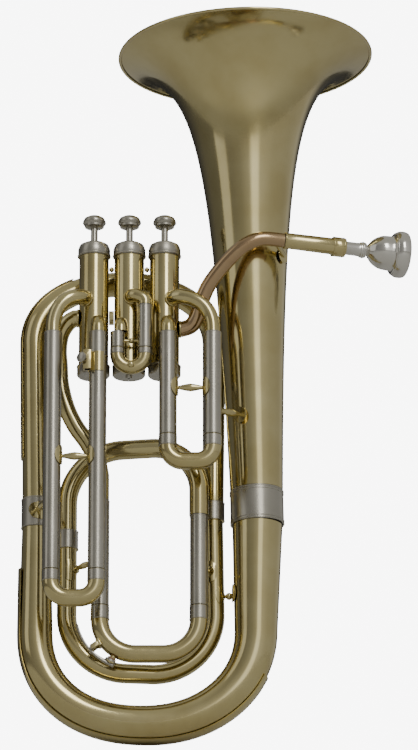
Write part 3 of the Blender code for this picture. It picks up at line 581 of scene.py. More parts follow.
def ball_brace(name, start, end, ball, neck, kind="brass"):
    """A short turned brace with a ball in the middle."""
    length = (end - start).length
    middle = length * 0.5
    half = min(ball, middle - 0.0004)
    profile = [(0.0, length), (neck * 1.6, length), (neck * 1.2, length - 0.0003)]
    for i in range(BALL_STEPS + 1):
        angle = lerp(0.38, math.pi - 0.38, i / BALL_STEPS)
        profile.append((ball * math.sin(angle), middle + half * math.cos(angle)))
    profile += [(neck * 1.2, 0.0003), (neck * 1.6, 0.0), (0.0, 0.0)]
    return turned(name, profile, kind, start, (end - start).normalized(), False)


def between(a, a_radius, b, b_radius):
    """The two ends of a brace that spans from one tube's surface to another's."""
    way = (b - a).normalized()
    return a + way * (a_radius + GAP), b - way * (b_radius + GAP)


# ---------------------------------------------------------------- bell and main bow
def bell_axis():
    return Vector((-math.sin(BELL_LEAN), 0.0, math.cos(BELL_LEAN)))


def bell_radius(height):
    """Outer radius at a height above the bell's foot."""
    depth = BELL_LENGTH - height
    return RIM_RADIUS * (FLARE_START / (FLARE_START + depth)) ** FLARE_POWER


def bell_point(z):
    """The point of the bell's axis at the height z of the frame."""
    height = (z - BELL_FOOT.z) / math.cos(BELL_LEAN)
    return BELL_FOOT + bell_axis() * height, bell_radius(height)


def bell_heights():
    """Heights for the flare's rings, closer together towards the rim."""
    return [BELL_LENGTH * (1.0 - (i / BELL_STEPS) ** 2.4) for i in range(BELL_STEPS + 1)]


def make_bell():
    heights = bell_heights()
    top = BELL_LENGTH
    outer = [(bell_radius(h), h) for h in heights[1:]]
    inner = [(radius - WALL, h) for radius, h in reversed(outer)]
    bead = []
    for i in range(17):
        angle = math.radians(lerp(140.0, -140.0, i / 16))
        bead.append((RIM_RADIUS + RIM_BEAD * math.cos(angle), top + RIM_BEAD * math.sin(angle)))
    turned("bell", bead + outer + inner, "brass", BELL_FOOT, bell_axis(), True, BELL_TURNS)


def squared(angle, squareness):
    """Cosine and sine of a rounder (2) or squarer (over 2) half turn, from 0 to 180 degrees."""
    power = 2.0 / squareness
    cosine = math.cos(angle)
    sine = max(math.sin(angle), 0.0)
    return math.copysign(abs(cosine) ** power, cosine), sine**power


def bow_point(angle):
    """Angle 0 is the bell side, 180 degrees the left side."""
    right, left = BOW_SQUARENESS
    across, down = squared(angle, right if angle < 0.5 * math.pi else left)
    return Vector((BOW_HALF_SPAN * across, 0.0, BOW_CENTRE_Z - BOW_DROP * down))


def bow_radius(angle):
    """Outer radius of the bow: it narrows from the bell side to the left side."""
    t = angle / math.pi
    if t < 0.5:
        return lerp(BOW_RIGHT_RADIUS, BOW_RADIUS, (t / 0.5) ** 1.2)
    return lerp(BOW_RADIUS, BOW_LEFT_RADIUS, (t - 0.5) / 0.5)


def make_bottom_bow():
    angles = [math.pi * i / BOW_STEPS for i in range(BOW_STEPS + 1)]
    route = [BELL_FOOT - bell_axis() * (BELL_FERRULE_LENGTH + 2.0 * GAP)]
    route += [bow_point(angle) for angle in angles]
    route.append(Vector((-BOW_HALF_SPAN, 0.0, LEFT_FERRULE[0] - GAP)))
    radii = [BELL_END_RADIUS]
    radii += [bow_radius(angle) for angle in angles]
    radii.append(LEFT_TUBE_RADIUS)
    tube("bottom_bow", route, radii)


def guard(name, route, radii):
    """A thin guard strip that hugs the outer side of a bow: an arc swept along the bow's route."""
    section = bpy.data.curves.new(name + "_section", "CURVE")
    section.dimensions = "2D"
    spline = section.splines.new("POLY")
    spline.points.add(GUARD_STEPS)
    for i in range(GUARD_STEPS + 1):
        angle = math.radians(lerp(*GUARD_ANGLES, i / GUARD_STEPS))
        spline.points[i].co = (math.cos(angle), math.sin(angle), 0.0, 1.0)
    shape = bpy.data.objects.new(name + "_section", section)
    hide_cutter(shape)
    curve = bpy.data.curves.new(name, "CURVE")
    set_route(curve, route, radii)
    curve.bevel_mode = "OBJECT"
    curve.bevel_object = shape
    return thicken(add_object(name, curve, "brass"), GUARD_THICKNESS)


def make_bottom_guard():
    angles = [GUARD_RIGHT_END]
    angles += [math.pi * i / BOW_STEPS for i in range(BOW_STEPS // 6, BOW_STEPS + 1)]
    route = [bow_point(angle) for angle in angles]
    route.append(bow_point(math.pi) + UP * GUARD_LEFT_RISE)
    radii = [bow_radius(angle) + GUARD_CLEARANCE for angle in angles]
    radii.append(BOW_LEFT_RADIUS - 0.0004 + GUARD_CLEARANCE)
    guard("bottom_guard", route, radii)


def make_joint_ferrules():
    low = BELL_FOOT - bell_axis() * (BELL_FERRULE_LENGTH + GAP)
    ring("bell_ferrule", BELL_FERRULE_RADIUS, 0.0, BELL_FERRULE_LENGTH, 0.0010, "nickel", low, bell_axis())
    bottom, top = LEFT_FERRULE
    left_low = Vector((-BOW_HALF_SPAN, 0.0, bottom))
    band = ring("left_ferrule", LEFT_FERRULE_RADIUS, 0.0, top - bottom, 0.0009, "nickel", left_low)
    plate_start = Vector((-BOW_HALF_SPAN, -0.0140, 0.5 * (bottom + top)))
    target = Vector((SLIDES[3]["left_x"], SLIDES[3]["y"], plate_start.z))
    start, end = between(plate_start, 0.0, target, SLEEVE_RADIUS)
    stay = flange_brace("left_stay", start - (end - start).normalized() * 0.0006, end, 0.0075, 0.0040)
    join("left_ferrule", band, stay)


# ---------------------------------------------------------------- top bow, inner loop and arch
def inner_leg_point(z):
    """The centre of the tube that comes down beside the bell, at height z."""
    t = (TOP_BOW_CENTRE.z - z) / (TOP_BOW_CENTRE.z - INNER_FERRULE[1])
    return Vector((INNER_LEG_X, lerp(INNER_LEG_TOP_Y, INNER_LEG_LOW_Y, t), z))


def top_bow_point(angle):
    """Angle 0 is the left end, 180 degrees the right end; the bow slants back to the right."""
    across, up = squared(angle, TOP_BOW_SQUARENESS)
    y = INNER_LEG_TOP_Y * (0.5 - 0.5 * math.cos(angle))
    return Vector((
        TOP_BOW_CENTRE.x - TOP_BOW_HALF_SPAN * across,
        y,
        TOP_BOW_CENTRE.z + TOP_BOW_RISE * up + 0.3 * y,
    ))


def make_top_bow():
    route = [Vector((-BOW_HALF_SPAN, 0.0, LEFT_FERRULE[1] + GAP))]
    route += [top_bow_point(math.pi * i / TOP_BOW_STEPS) for i in range(TOP_BOW_STEPS + 1)]
    end = inner_leg_point(INNER_FERRULE[1] + GAP)
    route += [end + UP * 0.0100, end]
    radii = route_radii(route, [(0.0, LEFT_TUBE_RADIUS), (0.45, TOP_BOW_RADIUS), (1.0, INNER_LEG_RADIUS)])
    tube("top_bow", route, radii)


def make_top_guard():
    angles = [math.pi * i / TOP_BOW_STEPS for i in range(21)]
    route = [top_bow_point(0.0) - Vector((-0.0024, 0.0, TOP_GUARD_DROP))]
    route += [top_bow_point(angle) for angle in angles]
    radii = [0.0131 + GUARD_CLEARANCE]
    radii += [lerp(0.0124, 0.0118, i / 20) + GUARD_CLEARANCE for i in range(21)]
    guard("top_guard", route, radii)


def make_inner_loop():
    """From the ferrule beside the bell, down, round the bottom and up to the ferrule at the left."""
    right = Vector((LOOP_RIGHT_X - LOOP_BEND, INNER_LEG_LOW_Y, LOOP_LOW_Z + LOOP_BEND))
    left = Vector((LOOP_LEFT_X + LOOP_BEND, LOOP_LEFT_Y, LOOP_LOW_Z + LOOP_BEND))
    side = Vector((LOOP_BEND, 0.0, 0.0))
    down = Vector((0.0, 0.0, -LOOP_BEND))
    step = 0.0004
    route = [Vector((INNER_LEG_X, INNER_LEG_LOW_Y, z)) for z in (INNER_FERRULE[1], INNER_FERRULE[0])]
    route += [Vector((INNER_LEG_X, INNER_LEG_LOW_Y, INNER_FERRULE[0] - step))]
    route += quarter(right, side, down, 5)
    route += quarter(left, down, -side, 5)
    route += [Vector((LOOP_LEFT_X, LOOP_LEFT_Y, LOOP_FERRULE[0] - step))]
    route += [Vector((LOOP_LEFT_X, LOOP_LEFT_Y, z)) for z in LOOP_FERRULE]
    radii = [INNER_LEG_RADIUS + 0.0003] * 2
    radii += [LOOP_RADIUS] * (len(route) - 4)
    radii += [LOOP_RADIUS + 0.0007] * 2
    tube("inner_loop", route, radii)


def arch_y(x):
    """The arch slants forward from the inner loop to the tuning slide."""
    t = (x - LOOP_LEFT_X) / (TUNING_RIGHT_X - LOOP_LEFT_X)
    return lerp(LOOP_LEFT_Y, TUNING_Y, min(max(t, 0.0), 1.0))


def make_arch():
    left = Vector((LOOP_LEFT_X + ARCH_LEFT_BEND, 0.0, ARCH_TOP_Z - ARCH_LEFT_BEND))
    right = Vector((TUNING_RIGHT_X - ARCH_RIGHT_BEND, 0.0, ARCH_TOP_Z - ARCH_RIGHT_BEND))
    route = [Vector((LOOP_LEFT_X, 0.0, LOOP_FERRULE[1] + GAP))]
    route += quarter(left, Vector((-ARCH_LEFT_BEND, 0.0, 0.0)), UP * ARCH_LEFT_BEND, 6)
    route += quarter(right, UP * ARCH_RIGHT_BEND, Vector((ARCH_RIGHT_BEND, 0.0, 0.0)), 5)
    route.append(Vector((TUNING_RIGHT_X, 0.0, TUNING_SLEEVE_TOPS[1] + GAP)))
    for point in route:
        point.y = arch_y(point.x)
    plain_tube("tuning_arch", route, ARCH_RADIUS)


def make_exit_tube():
    """From valve 3, out and down past its slide, in an S to the left leg of the tuning slide."""
    start = Vector((valve_x(3) - CASING_RADIUS - GAP, VALVE_Y, EXIT_PORT_Z))
    stub = Vector((-0.0032, 0.0, 0.0))
    end = Vector((TUNING_LEFT_X, TUNING_Y, TUNING_SLEEVE_TOPS[0] + GAP))
    rise = Vector((0.0, 0.0, 0.0240))
    route = [start] + smooth([start + stub, *EXIT_ROUTE, end + rise], 2) + [end]
    plain_tube("exit_tube", route, EXIT_RADIUS)


# ---------------------------------------------------------------- slides
def slide_bow(name, left_x, right_x, y, sleeve_end, ferrule, low_z, bend, leg, sleeve_radius, leg_radius):
    """A moving slide: two inner legs, a ferrule at each end of the bow, and the bow itself."""
    core = u_route(left_x, right_x, y, 0.0, low_z, bend, 4)[1:-1]
    top = sleeve_end - GAP
    left = [
        (top + leg, leg_radius),
        (top + 0.0001, leg_radius),
        (top - 0.0002, sleeve_radius),
        (sleeve_end - ferrule, sleeve_radius),
    ]
    route = [Vector((left_x, y, z)) for z, _ in left]
    radii = [radius for _, radius in left]
    route += core
    radii += [sleeve_radius] * len(core)
    route += [Vector((right_x, y, z)) for z, _ in reversed(left)]
    radii += [radius for _, radius in reversed(left)]
    return tube(name, route, radii, wall=0.0005)


def outer_sleeves(number, slide, radius):
    """The two fixed sleeves of a valve slide and the turned brace soldered between them."""
    tops = (slide["top"], SLIDE_2_RIGHT_TOP if number == 2 else slide["top"])
    xs = (slide["left_x"], slide["right_x"])
    sleeves = []
    for side, x, top in zip(("left", "right"), xs, tops):
        route = [Vector((x, slide["y"], slide["end"])), Vector((x, slide["y"], top - GAP))]
        sleeves.append(plain_tube("slide_%d_sleeve_%s" % (number, side), route, radius, "nickel", 0.0005))
    left = Vector((xs[0] + radius - 0.0004, slide["y"], slide["brace_z"]))
    right = Vector((xs[1] - radius + 0.0004, slide["y"], slide["brace_z"]))
    make_brace = ball_brace if number == 2 else flange_brace
    sizes = (0.0024, 0.0012) if number == 2 else (0.0040, 0.0040)
    brace = make_brace("slide_%d_brace" % number, left, right, *sizes)
    join("slide_%d_sleeves" % number, sleeves[0], sleeves[1], brace)


def crook(name, number, leg_x, leg_top, y, z, port_angle, radius, lift, reach):
    """A bend from a slide leg to the front of its valve."""
    out = straight_ahead(port_angle)
    start = valve_place(number, z) + out * (CASING_RADIUS + GAP)
    end = Vector((leg_x, y, leg_top))
    route = [end + UP * GAP]
    route += bezier(end + UP * 0.0030, end + UP * lift, start + out * reach, start + out * 0.0012, 6)
    route.append(start)
    plain_tube(name, route, radius)


def elbow(name, leg_x, y, leg_top, radius):
    """A tight quarter bend from the top of a slide leg straight back to the valve."""
    back = VALVE_Y - CASING_RADIUS - GAP
    stub = 0.0006
    bend = back - stub - y
    centre = Vector((leg_x, back - stub, leg_top + 0.0030))
    route = [Vector((leg_x, y, leg_top + GAP))]
    route += quarter(centre, Vector((0.0, -bend, 0.0)), UP * bend, 4)
    route.append(route[-1] + Vector((0.0, stub, 0.0)))
    plain_tube(name, route, radius)


def make_slides():
    for number, slide in SLIDES.items():
        small = number == 2
        sleeve_radius = SMALL_SLEEVE_RADIUS if small else SLEEVE_RADIUS
        leg_radius = SMALL_LEG_RADIUS if small else LEG_RADIUS
        outer_sleeves(number, slide, sleeve_radius)
        slide_bow("slide_%d_bow" % number, slide["left_x"], slide["right_x"], slide["y"], slide["end"],
                  slide["ferrule"], slide["low"], slide["bend"], slide["leg"], sleeve_radius, leg_radius)
    one, two, three = (SLIDES[number] for number in (1, 2, 3))
    for number, leg_x, leg_top, bend in (
        (1, one["right_x"], one["top"], LARGE_CROOK),
        (2, two["right_x"], SLIDE_2_RIGHT_TOP, SMALL_CROOK),
        (3, three["left_x"], three["top"], LARGE_CROOK),
    ):
        z, turn, radius, lift, reach = bend
        turn = math.radians(-turn if number == 3 else turn)
        y = SLIDES[number]["y"]
        crook("slide_%d_crook" % number, number, leg_x, leg_top, y, z, turn, radius, lift, reach)
    elbow("slide_1_elbow", one["left_x"], one["y"], one["top"], 0.0070)
    elbow("slide_2_elbow", two["left_x"] + 0.0030, two["y"], two["top"], 0.0060)
    elbow("slide_3_elbow", three["right_x"], three["y"], three["top"], 0.0070)


def make_tuning_slide():
    sleeves = zip(("left", "right"), (TUNING_LEFT_X, TUNING_RIGHT_X), TUNING_SLEEVE_TOPS)
    for side, x, top in sleeves:
        route = [Vector((x, TUNING_Y, TUNING_SLEEVE_END)), Vector((x, TUNING_Y, top))]
        plain_tube("tuning_sleeve_" + side, route, TUNING_RADIUS, "nickel", 0.0005)
    bow = slide_bow("tuning_slide", TUNING_LEFT_X, TUNING_RIGHT_X, TUNING_Y, TUNING_SLEEVE_END,
                    TUNING_SLEEVE_END - TUNING_FERRULE_END, TUNING_LOW_Z, TUNING_BEND, TUNING_LEG,
                    TUNING_RADIUS, LEG_RADIUS)
    join("tuning_slide", bow, *water_key_saddle())


# ---------------------------------------------------------------- water key
def tuning_bend_centre():
    return Vector((TUNING_LEFT_X + TUNING_BEND, TUNING_Y, TUNING_LOW_Z + TUNING_BEND))


def bend_out(angle):
    """The way out of the tuning bow's bend at an angle from +X towards +Z."""
    return Vector((math.cos(angle), 0.0, math.sin(angle)))


def water_key_pivot():
    return tuning_bend_centre() + bend_out(WATER_KEY_ANGLE) * WATER_KEY_REACH


def water_key_slope():
    """Turn about Y that lays a piece's local X along the way out of the bow."""
    return -(WATER_KEY_ANGLE - math.pi)


def water_key_nipple():
    """The mouth of the drain nipple on the bow."""
    return tuning_bend_centre() + bend_out(NIPPLE_ANGLE) * (TUNING_BEND + TUNING_RADIUS + 0.0012)


def key_block(name, size, reach, y):
    """A block square to the bow at the hinge, reach metres out from the bend centre."""
    place = tuning_bend_centre() + bend_out(WATER_KEY_ANGLE) * reach + Vector((0.0, y, 0.0))
    piece = block(name, size, place)
    piece.rotation_euler = (0.0, water_key_slope(), 0.0)
    return piece


def water_key_saddle():
    """The foot, its two ears and the nipple, all soldered to the bow."""
    surface = TUNING_BEND + TUNING_RADIUS
    foot = key_block("water_key_foot", (0.0028, 0.0128, 0.0070), surface - 0.0006, 0.0)
    ear = (0.0080, 0.0012, 0.0044)
    ears = [key_block("water_key_ear_%d" % side, ear, surface + 0.0040, side * 0.0058) for side in (-1, 1)]
    mouth = water_key_nipple()
    nipple = rod("water_key_nipple", mouth - bend_out(NIPPLE_ANGLE) * 0.0040, mouth, 0.0030)
    return [foot, *ears, nipple]


def make_water_key():
    hinge = water_key_pivot()
    face = bend_out(NIPPLE_ANGLE)
    cork_start = water_key_nipple() + face * GAP
    cork = 0.0018
    turned("water_key_cork", [(0.0, cork), (0.0042, cork), (0.0042, 0.0), (0.0, 0.0)], "cork",
           cork_start, face, False)
    cup_start = cork_start + face * (cork + GAP)
    cup_profile = [(0.0, 0.0034), (0.0036, 0.0034), (0.0055, 0.0020), (0.0055, 0.0), (0.0, 0.0)]
    cup = turned("water_key_cup", cup_profile, "nickel", cup_start, face, False)
    side = Vector((0.0, 0.0048, 0.0))
    hub = rod("water_key_hub", hinge - side, hinge + side, 0.0019, "nickel")
    join("water_key", key_lever(), hub, cup)


def make_water_key_spring():
    """A small two-turn torsion spring round the hinge, on the side away from the hub's end."""
    hinge = water_key_pivot()
    route = []
    for i in range(65):
        angle = 2.0 * math.pi * i / 32
        place = Vector((math.cos(angle) * 0.0024, 0.0072 + 0.0011 * i / 32, math.sin(angle) * 0.0024))
        route.append(hinge + place)
    plain_tube("water_key_spring", route, 0.0004, "steel", None, 6)


# ---------------------------------------------------------------- valves
def make_casing(number):
    place = valve_place(number)
    ring("valve_casing_%d" % number, CASING_RADIUS, *CASING_Z, 0.0006, "brass", place)
    inner = CASING_RADIUS + 0.0004
    lip, top = TOP_CAP_Z
    turned("top_cap_%d" % number, [
        (0.0038, top), (0.0098, top), (0.0134, top - 0.0020), (CAP_RADIUS, top - 0.0062),
        (CAP_RADIUS, lip + 0.0008), (CAP_RADIUS - 0.0006, lip), (inner, lip), (inner, top - 0.0037),
        (0.0038, top - 0.0037),
    ], "nickel", place)
    low, high = BOTTOM_CAP_Z
    floor = low + BOTTOM_CAP_FLOOR
    turned("bottom_cap_%d" % number, [
        (inner, high), (CAP_RADIUS, high), (CAP_RADIUS + 0.0003, high - 0.0016),
        (CAP_RADIUS + 0.0003, low + 0.0012), (CAP_RADIUS - 0.0006, low), (0.0034, low),
        (0.0028, low - 0.0018), (0.0010, low - 0.0018), (0.0010, floor), (inner, floor),
    ], "nickel", place)


def make_button(number):
    """The finger button and its stem, which screws into the piston."""
    place = valve_place(number)
    turned("finger_button_%d" % number, [
        (0.0, 0.5040), (0.0060, 0.5034), (0.0092, 0.5016), (0.0107, 0.4986), (0.0104, 0.4962),
        (0.0092, 0.4950), (0.0090, 0.4932), (0.0070, 0.4922), (0.0033, 0.4920),
        (0.0033, PISTON_Z[1] + GAP), (0.0, PISTON_Z[1] + GAP),
    ], "nickel", place, UP, False)


def make_spring(number):
    """The compression spring under a piston, standing on the bottom cap."""
    low = BOTTOM_CAP_Z[0] + BOTTOM_CAP_FLOOR + GAP
    top = PISTON_Z[0] - GAP
    wire = 0.0006
    turns = 4
    sides = 24
    count = turns * sides
    route = []
    for i in range(count + 1):
        angle = 2.0 * math.pi * i / sides
        height = lerp(low + wire, top - wire, i / count)
        route.append(Vector((valve_x(number) + 0.0095 * math.cos(angle),
                             VALVE_Y + 0.0095 * math.sin(angle), height)))
    plain_tube("valve_spring_%d" % number, route, wire, "steel", None, 10)


def make_valves():
    for number in (1, 2, 3):
        make_casing(number)
        make_button(number)
        make_spring(number)
    for first, second, link_z in ((1, 2, 0.3920), (2, 3, 0.4030)):
        name = "%d%d" % (first, second)
        left = valve_place(second, link_z)
        right = valve_place(first, link_z)
        start, end = between(left, CASING_RADIUS, right, CASING_RADIUS)
        plain_tube("valve_link_" + name, [start, end], LEG_RADIUS)
        rise = Vector((0.0, 0.0, 0.4509 - link_z))
        ball_brace("valve_brace_" + name, start + rise, end + rise, 0.0026, 0.0014)


# ---------------------------------------------------------------- mouthpipe and mouthpiece
def make_mouthpipe():
    end = Vector((VALVE_1_X + CASING_RADIUS + 1.5 * GAP, VALVE_Y, LEADPIPE_PORT_Z))
    stub = Vector((0.0015, 0.0, 0.0))
    route = smooth([RECEIVER_START - RECEIVER_AXIS * GAP, *LEADPIPE_ROUTE, end + stub], 2)
    route.append(end)
    radii = route_radii(route, [(0.0, LEADPIPE_RADII[0]), (1.0, LEADPIPE_RADII[1])])
    tube("leadpipe", route, radii, "rose_brass")
    turned("receiver", [
        (0.0088, RECEIVER_LENGTH), (0.0092, 0.0560), (0.0092, 0.0480), (0.0078, 0.0462), (0.0074, 0.0),
        (0.0060, 0.0), (0.0060, 0.0340), (0.0068, RECEIVER_LENGTH),
    ], "brass", RECEIVER_START, RECEIVER_AXIS)


def make_mouthpiece():
    """Cup, throat, bead and tapered shank. It stands in the receiver and pulls out along its axis."""
    turned("mouthpiece", soft_profile([
        (0.0186, 0.1184), (0.0209, 0.1170), (0.0219, 0.1132), (0.0214, 0.1090), (0.0188, 0.1048),
        (0.0165, 0.1030), (0.0156, 0.0937), (0.0121, 0.0865), (0.0073, 0.0819), (0.0048, 0.0797),
        (0.0071, 0.0782), (0.0072, 0.0735), (0.0064, 0.0716), (0.0062, 0.0580), (0.0055, 0.0380),
        (0.0040, 0.0380), (0.0030, 0.0790), (0.0060, 0.0890), (0.0118, 0.0980), (0.0130, 0.1100),
        (0.0152, 0.1168),
    ]), "silver", RECEIVER_START, RECEIVER_AXIS)


# ---------------------------------------------------------------- braces and lyre holder
def make_braces():
    bell_at, bell_r = bell_point(0.4660)
    out = Vector((0.84, -0.54, 0.06)).normalized()
    foot = bell_at + out * (bell_r + 0.0014)
    pipe = Vector((0.1190, -0.0512, 0.4720))
    start, end = between(pipe, 0.0073, foot, -GAP)
    stay = rod("leadpipe_brace", start, end + out * 0.0010, 0.0022)
    plate = turned("leadpipe_brace_plate", [(0.0, 0.0012), (0.0066, 0.0009), (0.0072, 0.0), (0.0, 0.0)],
                   "brass", foot, out, False)
    join("leadpipe_brace", stay, plate)

    bell_at, bell_r = bell_point(0.3050)
    sleeve = Vector((SLIDES[1]["right_x"], SLIDES[1]["y"], 0.3050))
    foot = bell_at + Vector((-0.46, -0.88, 0.0)) * (bell_r + 0.0024) + UP * 0.0040
    start, end = between(sleeve, SLEEVE_RADIUS + 0.0001, foot, 0.0)
    flange_brace("bell_brace_upper", start, end, 0.0036, 0.0074)

    leg = Vector((INNER_LEG_X + 0.0010, INNER_LEG_LOW_Y, 0.1430))
    tail = Vector((BOW_HALF_SPAN, 0.0, 0.1430))
    start, end = between(leg, LOOP_RADIUS + 0.0004, tail, 0.0210)
    ball_brace("bell_brace_lower", start, end, 0.0034, 0.0016)

    sleeve = Vector((TUNING_RIGHT_X, TUNING_Y, 0.1650))
    leg = Vector((INNER_LEG_X + 0.0008, INNER_LEG_LOW_Y, 0.1650))
    start, end = between(sleeve, TUNING_RADIUS + 0.0001, leg, LOOP_RADIUS + 0.0004)
    flange_brace("tuning_brace", start, end, 0.0036, 0.0050)

    leg = Vector((LOOP_LEFT_X, LOOP_LEFT_Y, 0.1660))
    sleeve = Vector((TUNING_LEFT_X, TUNING_Y, 0.1720))
    start, end = between(leg, LOOP_RADIUS + 0.0008, sleeve, TUNING_RADIUS + 0.0003)
    flange_brace("loop_brace", start, end, 0.0044, 0.0044)


def make_lyre_holder():
    """A square socket for a music lyre, soldered to the right sleeve of slide 3, with its thumbscrew."""
    low, high = LYRE_Z
    middle = 0.5 * (low + high)
    sleeve = Vector((SLIDES[3]["right_x"], SLIDES[3]["y"], 0.0))
    socket = sleeve + Vector((-0.0097, -0.0096, middle))
    body = block("lyre_holder", (0.0074, 0.0074, high - low), socket)
    body = as_mesh(body)
    use_tool(body, block("lyre_socket_cut", (0.0046, 0.0046, 0.0300), socket), "DIFFERENCE")
    saddle = ring("lyre_saddle", SLEEVE_RADIUS + 0.0012, low, high, 0.0008, "brass", sleeve)
    keep = block("lyre_saddle_keep", (0.0200, 0.0200, 0.0300), sleeve + Vector((-0.0045, -0.0115, middle)))
    saddle = as_mesh(saddle)
    use_tool(saddle, keep, "INTERSECT")
    use_tool(body, saddle, "UNION")
    out = Vector((-0.55, -0.83, 0.0)).normalized()
    way = rod("lyre_screw_cut", socket, socket + out * 0.0100, 0.0017)
    use_tool(body, way, "DIFFERENCE")
    start = socket + out * 0.0034
    turned("lyre_screw", [
        (0.0, 0.0072), (0.0040, 0.0072), (0.0049, 0.0066), (0.0049, 0.0052), (0.0042, 0.0048),
        (0.0013, 0.0046), (0.0013, 0.0), (0.0, 0.0),
    ], "nickel", start, out, False)


# ---------------------------------------------------------------- small detail
def key_lever():
    """The water key's flat lever, bent along the bow from the cork's cup past the hinge to the thumb end."""
    mesh = bpy.data.meshes.new("water_key_lever")
    steps = 40
    points = []
    for i in range(steps + 1):
        t = i / steps
        out = bend_out(math.radians(lerp(246.0, 185.0, t)))
        reach = lerp(0.0482, 0.0535, t**1.5)
        half = lerp(0.0024, 0.0021, min(t / 0.6, 1.0)) + 0.0014 * max(t - 0.7, 0.0) / 0.3
        if i in (0, steps):
            half *= 0.6
        for depth, width in ((-0.0011, -half), (0.0011, -half), (0.0011, half), (-0.0011, half)):
            points.append(tuning_bend_centre() + out * (reach + depth) + Vector((0.0, width, 0.0)))
    faces = [(3, 2, 1, 0), tuple(4 * steps + k for k in range(4))]
    for i in range(steps):
        for k in range(4):
            j = (k + 1) % 4
            faces.append((4 * i + k, 4 * i + j, 4 * i + 4 + j, 4 * i + 4 + k))
    mesh.from_pydata(points, [], faces)
    piece = add_object("water_key_lever", mesh, "nickel")
    edge = piece.modifiers.new("edge", "BEVEL")
    edge.width = 0.0003
    edge.segments = 2
    return piece


def bead(name, owner, centre, axis, radius, width=0.0012, height=0.00045, kind="nickel"):
    """A half-round raised ring round a tube, such as a ferrule's edge."""
    profile = []
    for i in range(9):
        angle = math.pi * i / 8
        profile.append((radius + height * math.sin(angle), 0.5 * width * math.cos(angle)))
    profile += [(radius - 0.0004, -0.5 * width), (radius - 0.0004, 0.5 * width)]
    join(owner, turned(name, profile, kind, centre, axis))


def band(name, owner, centre, axis, radius, length, kind="nickel"):
    """A thin tube with eased edges round a pipe, centred on a point of its axis."""
    half = 0.5 * length
    ease = 0.0003
    profile = [
        (radius - 0.0005, half), (radius - ease, half), (radius, half - ease), (radius, ease - half),
        (radius - ease, -half), (radius - 0.0005, -half),
    ]
    join(owner, turned(name, profile, kind, centre, axis))


def foot_plate(name, owner, centre, facing, radius, half_height, half_width, kind="brass"):
    """The thin oval foot of a brace, wrapped round an upright tube."""
    mesh = bpy.data.meshes.new(name)
    facing = Vector(facing).normalized()
    side = UP.cross(facing)
    rings = 7
    count = 40
    points = []
    for ring_number in range(rings + 1):
        share = ring_number / rings
        for i in range(count):
            turn = 2.0 * math.pi * i / count
            swing = share * half_width * math.cos(turn) / radius
            out = facing * math.cos(swing) + side * math.sin(swing)
            rise = 0.0008 + 0.0004 * (1.0 - share * share)
            points.append(centre + out * (radius + rise) + UP * (share * half_height * math.sin(turn)))
    faces = []
    for ring_number in range(rings):
        for i in range(count):
            j = (i + 1) % count
            low = ring_number * count
            faces.append((low + i, low + j, low + count + j, low + count + i))
    mesh.from_pydata(points, [], faces)
    join(owner, thicken(add_object(name, mesh, kind), 0.0007, 0.0))


def leg_details(sleeve_tag, sleeve, bow_tag, bow, place, top, end, ferrule_end, radius, lip):
    """A sleeve's rolled ends, and the nickel ferrule between it and the bow, with a fine lip."""
    length = end - ferrule_end - 0.0010
    bead(sleeve_tag + "_head", sleeve, place + UP * (top - 0.0010), UP, radius, 0.0009, 0.00025)
    bead(sleeve_tag + "_foot", sleeve, place + UP * (end + 0.0006), UP, radius, 0.0009, 0.00025)
    band(bow_tag + "_ferrule", bow, place + UP * (end - 0.0008 - 0.5 * length), UP, radius + 0.0003, length)
    bead(bow_tag + "_lip", bow, place + UP * ferrule_end, UP, radius + 0.0001, *lip)


def slide_details():
    for number, slide in SLIDES.items():
        radius = SMALL_SLEEVE_RADIUS if number == 2 else SLEEVE_RADIUS
        end = slide["end"]
        for side in ("left", "right"):
            place = Vector((slide[side + "_x"], slide["y"], 0.0))
            tag = "slide_%d_%s" % (number, side)
            top = SLIDE_2_RIGHT_TOP if number == 2 and side == "right" else slide["top"]
            leg_details(tag, "slide_%d_sleeves" % number, tag, "slide_%d_bow" % number, place, top, end,
                        end - slide["ferrule"], radius, (0.0009, 0.0004))


def tuning_details():
    for side, x, top in zip(("left", "right"), (TUNING_LEFT_X, TUNING_RIGHT_X), TUNING_SLEEVE_TOPS):
        sleeve = "tuning_sleeve_" + side
        leg_details(sleeve, sleeve, "tuning_" + side, "tuning_slide", Vector((x, TUNING_Y, 0.0)), top,
                    TUNING_SLEEVE_END, TUNING_FERRULE_END, TUNING_RADIUS, (0.0012, 0.0006))


def ferrule_details():
    foot = BELL_FOOT - bell_axis() * (BELL_FERRULE_LENGTH + GAP)
    for i, rise in enumerate((0.0009, 0.0032, BELL_FERRULE_LENGTH - 0.0032, BELL_FERRULE_LENGTH - 0.0009)):
        bead("bell_ferrule_bead_%d" % i, "bell_ferrule", foot + bell_axis() * rise, bell_axis(),
             BELL_FERRULE_RADIUS, 0.0011, 0.0005)
    for i, z in enumerate((LEFT_FERRULE[0] + 0.0008, LEFT_FERRULE[1] - 0.0008)):
        place = Vector((-BOW_HALF_SPAN, 0.0, z))
        bead("left_ferrule_bead_%d" % i, "left_ferrule", place, UP, LEFT_FERRULE_RADIUS, 0.0010, 0.0004)
    joints = (
        ("inner_ferrule", INNER_LEG_X, INNER_LEG_LOW_Y, INNER_FERRULE, INNER_LEG_RADIUS + 0.0007),
        ("loop_ferrule", LOOP_LEFT_X, LOOP_LEFT_Y, LOOP_FERRULE, LOOP_RADIUS + 0.0011),
    )
    for name, x, y, (low, high), radius in joints:
        centre = Vector((x, y, 0.5 * (low + high)))
        band(name, "inner_loop", centre, UP, radius, high - low - 0.0008)
        for end, z in (("low", low + 0.0009), ("high", high - 0.0009)):
            bead(name + "_" + end, "inner_loop", Vector((x, y, z)), UP, radius, 0.0010, 0.0004)


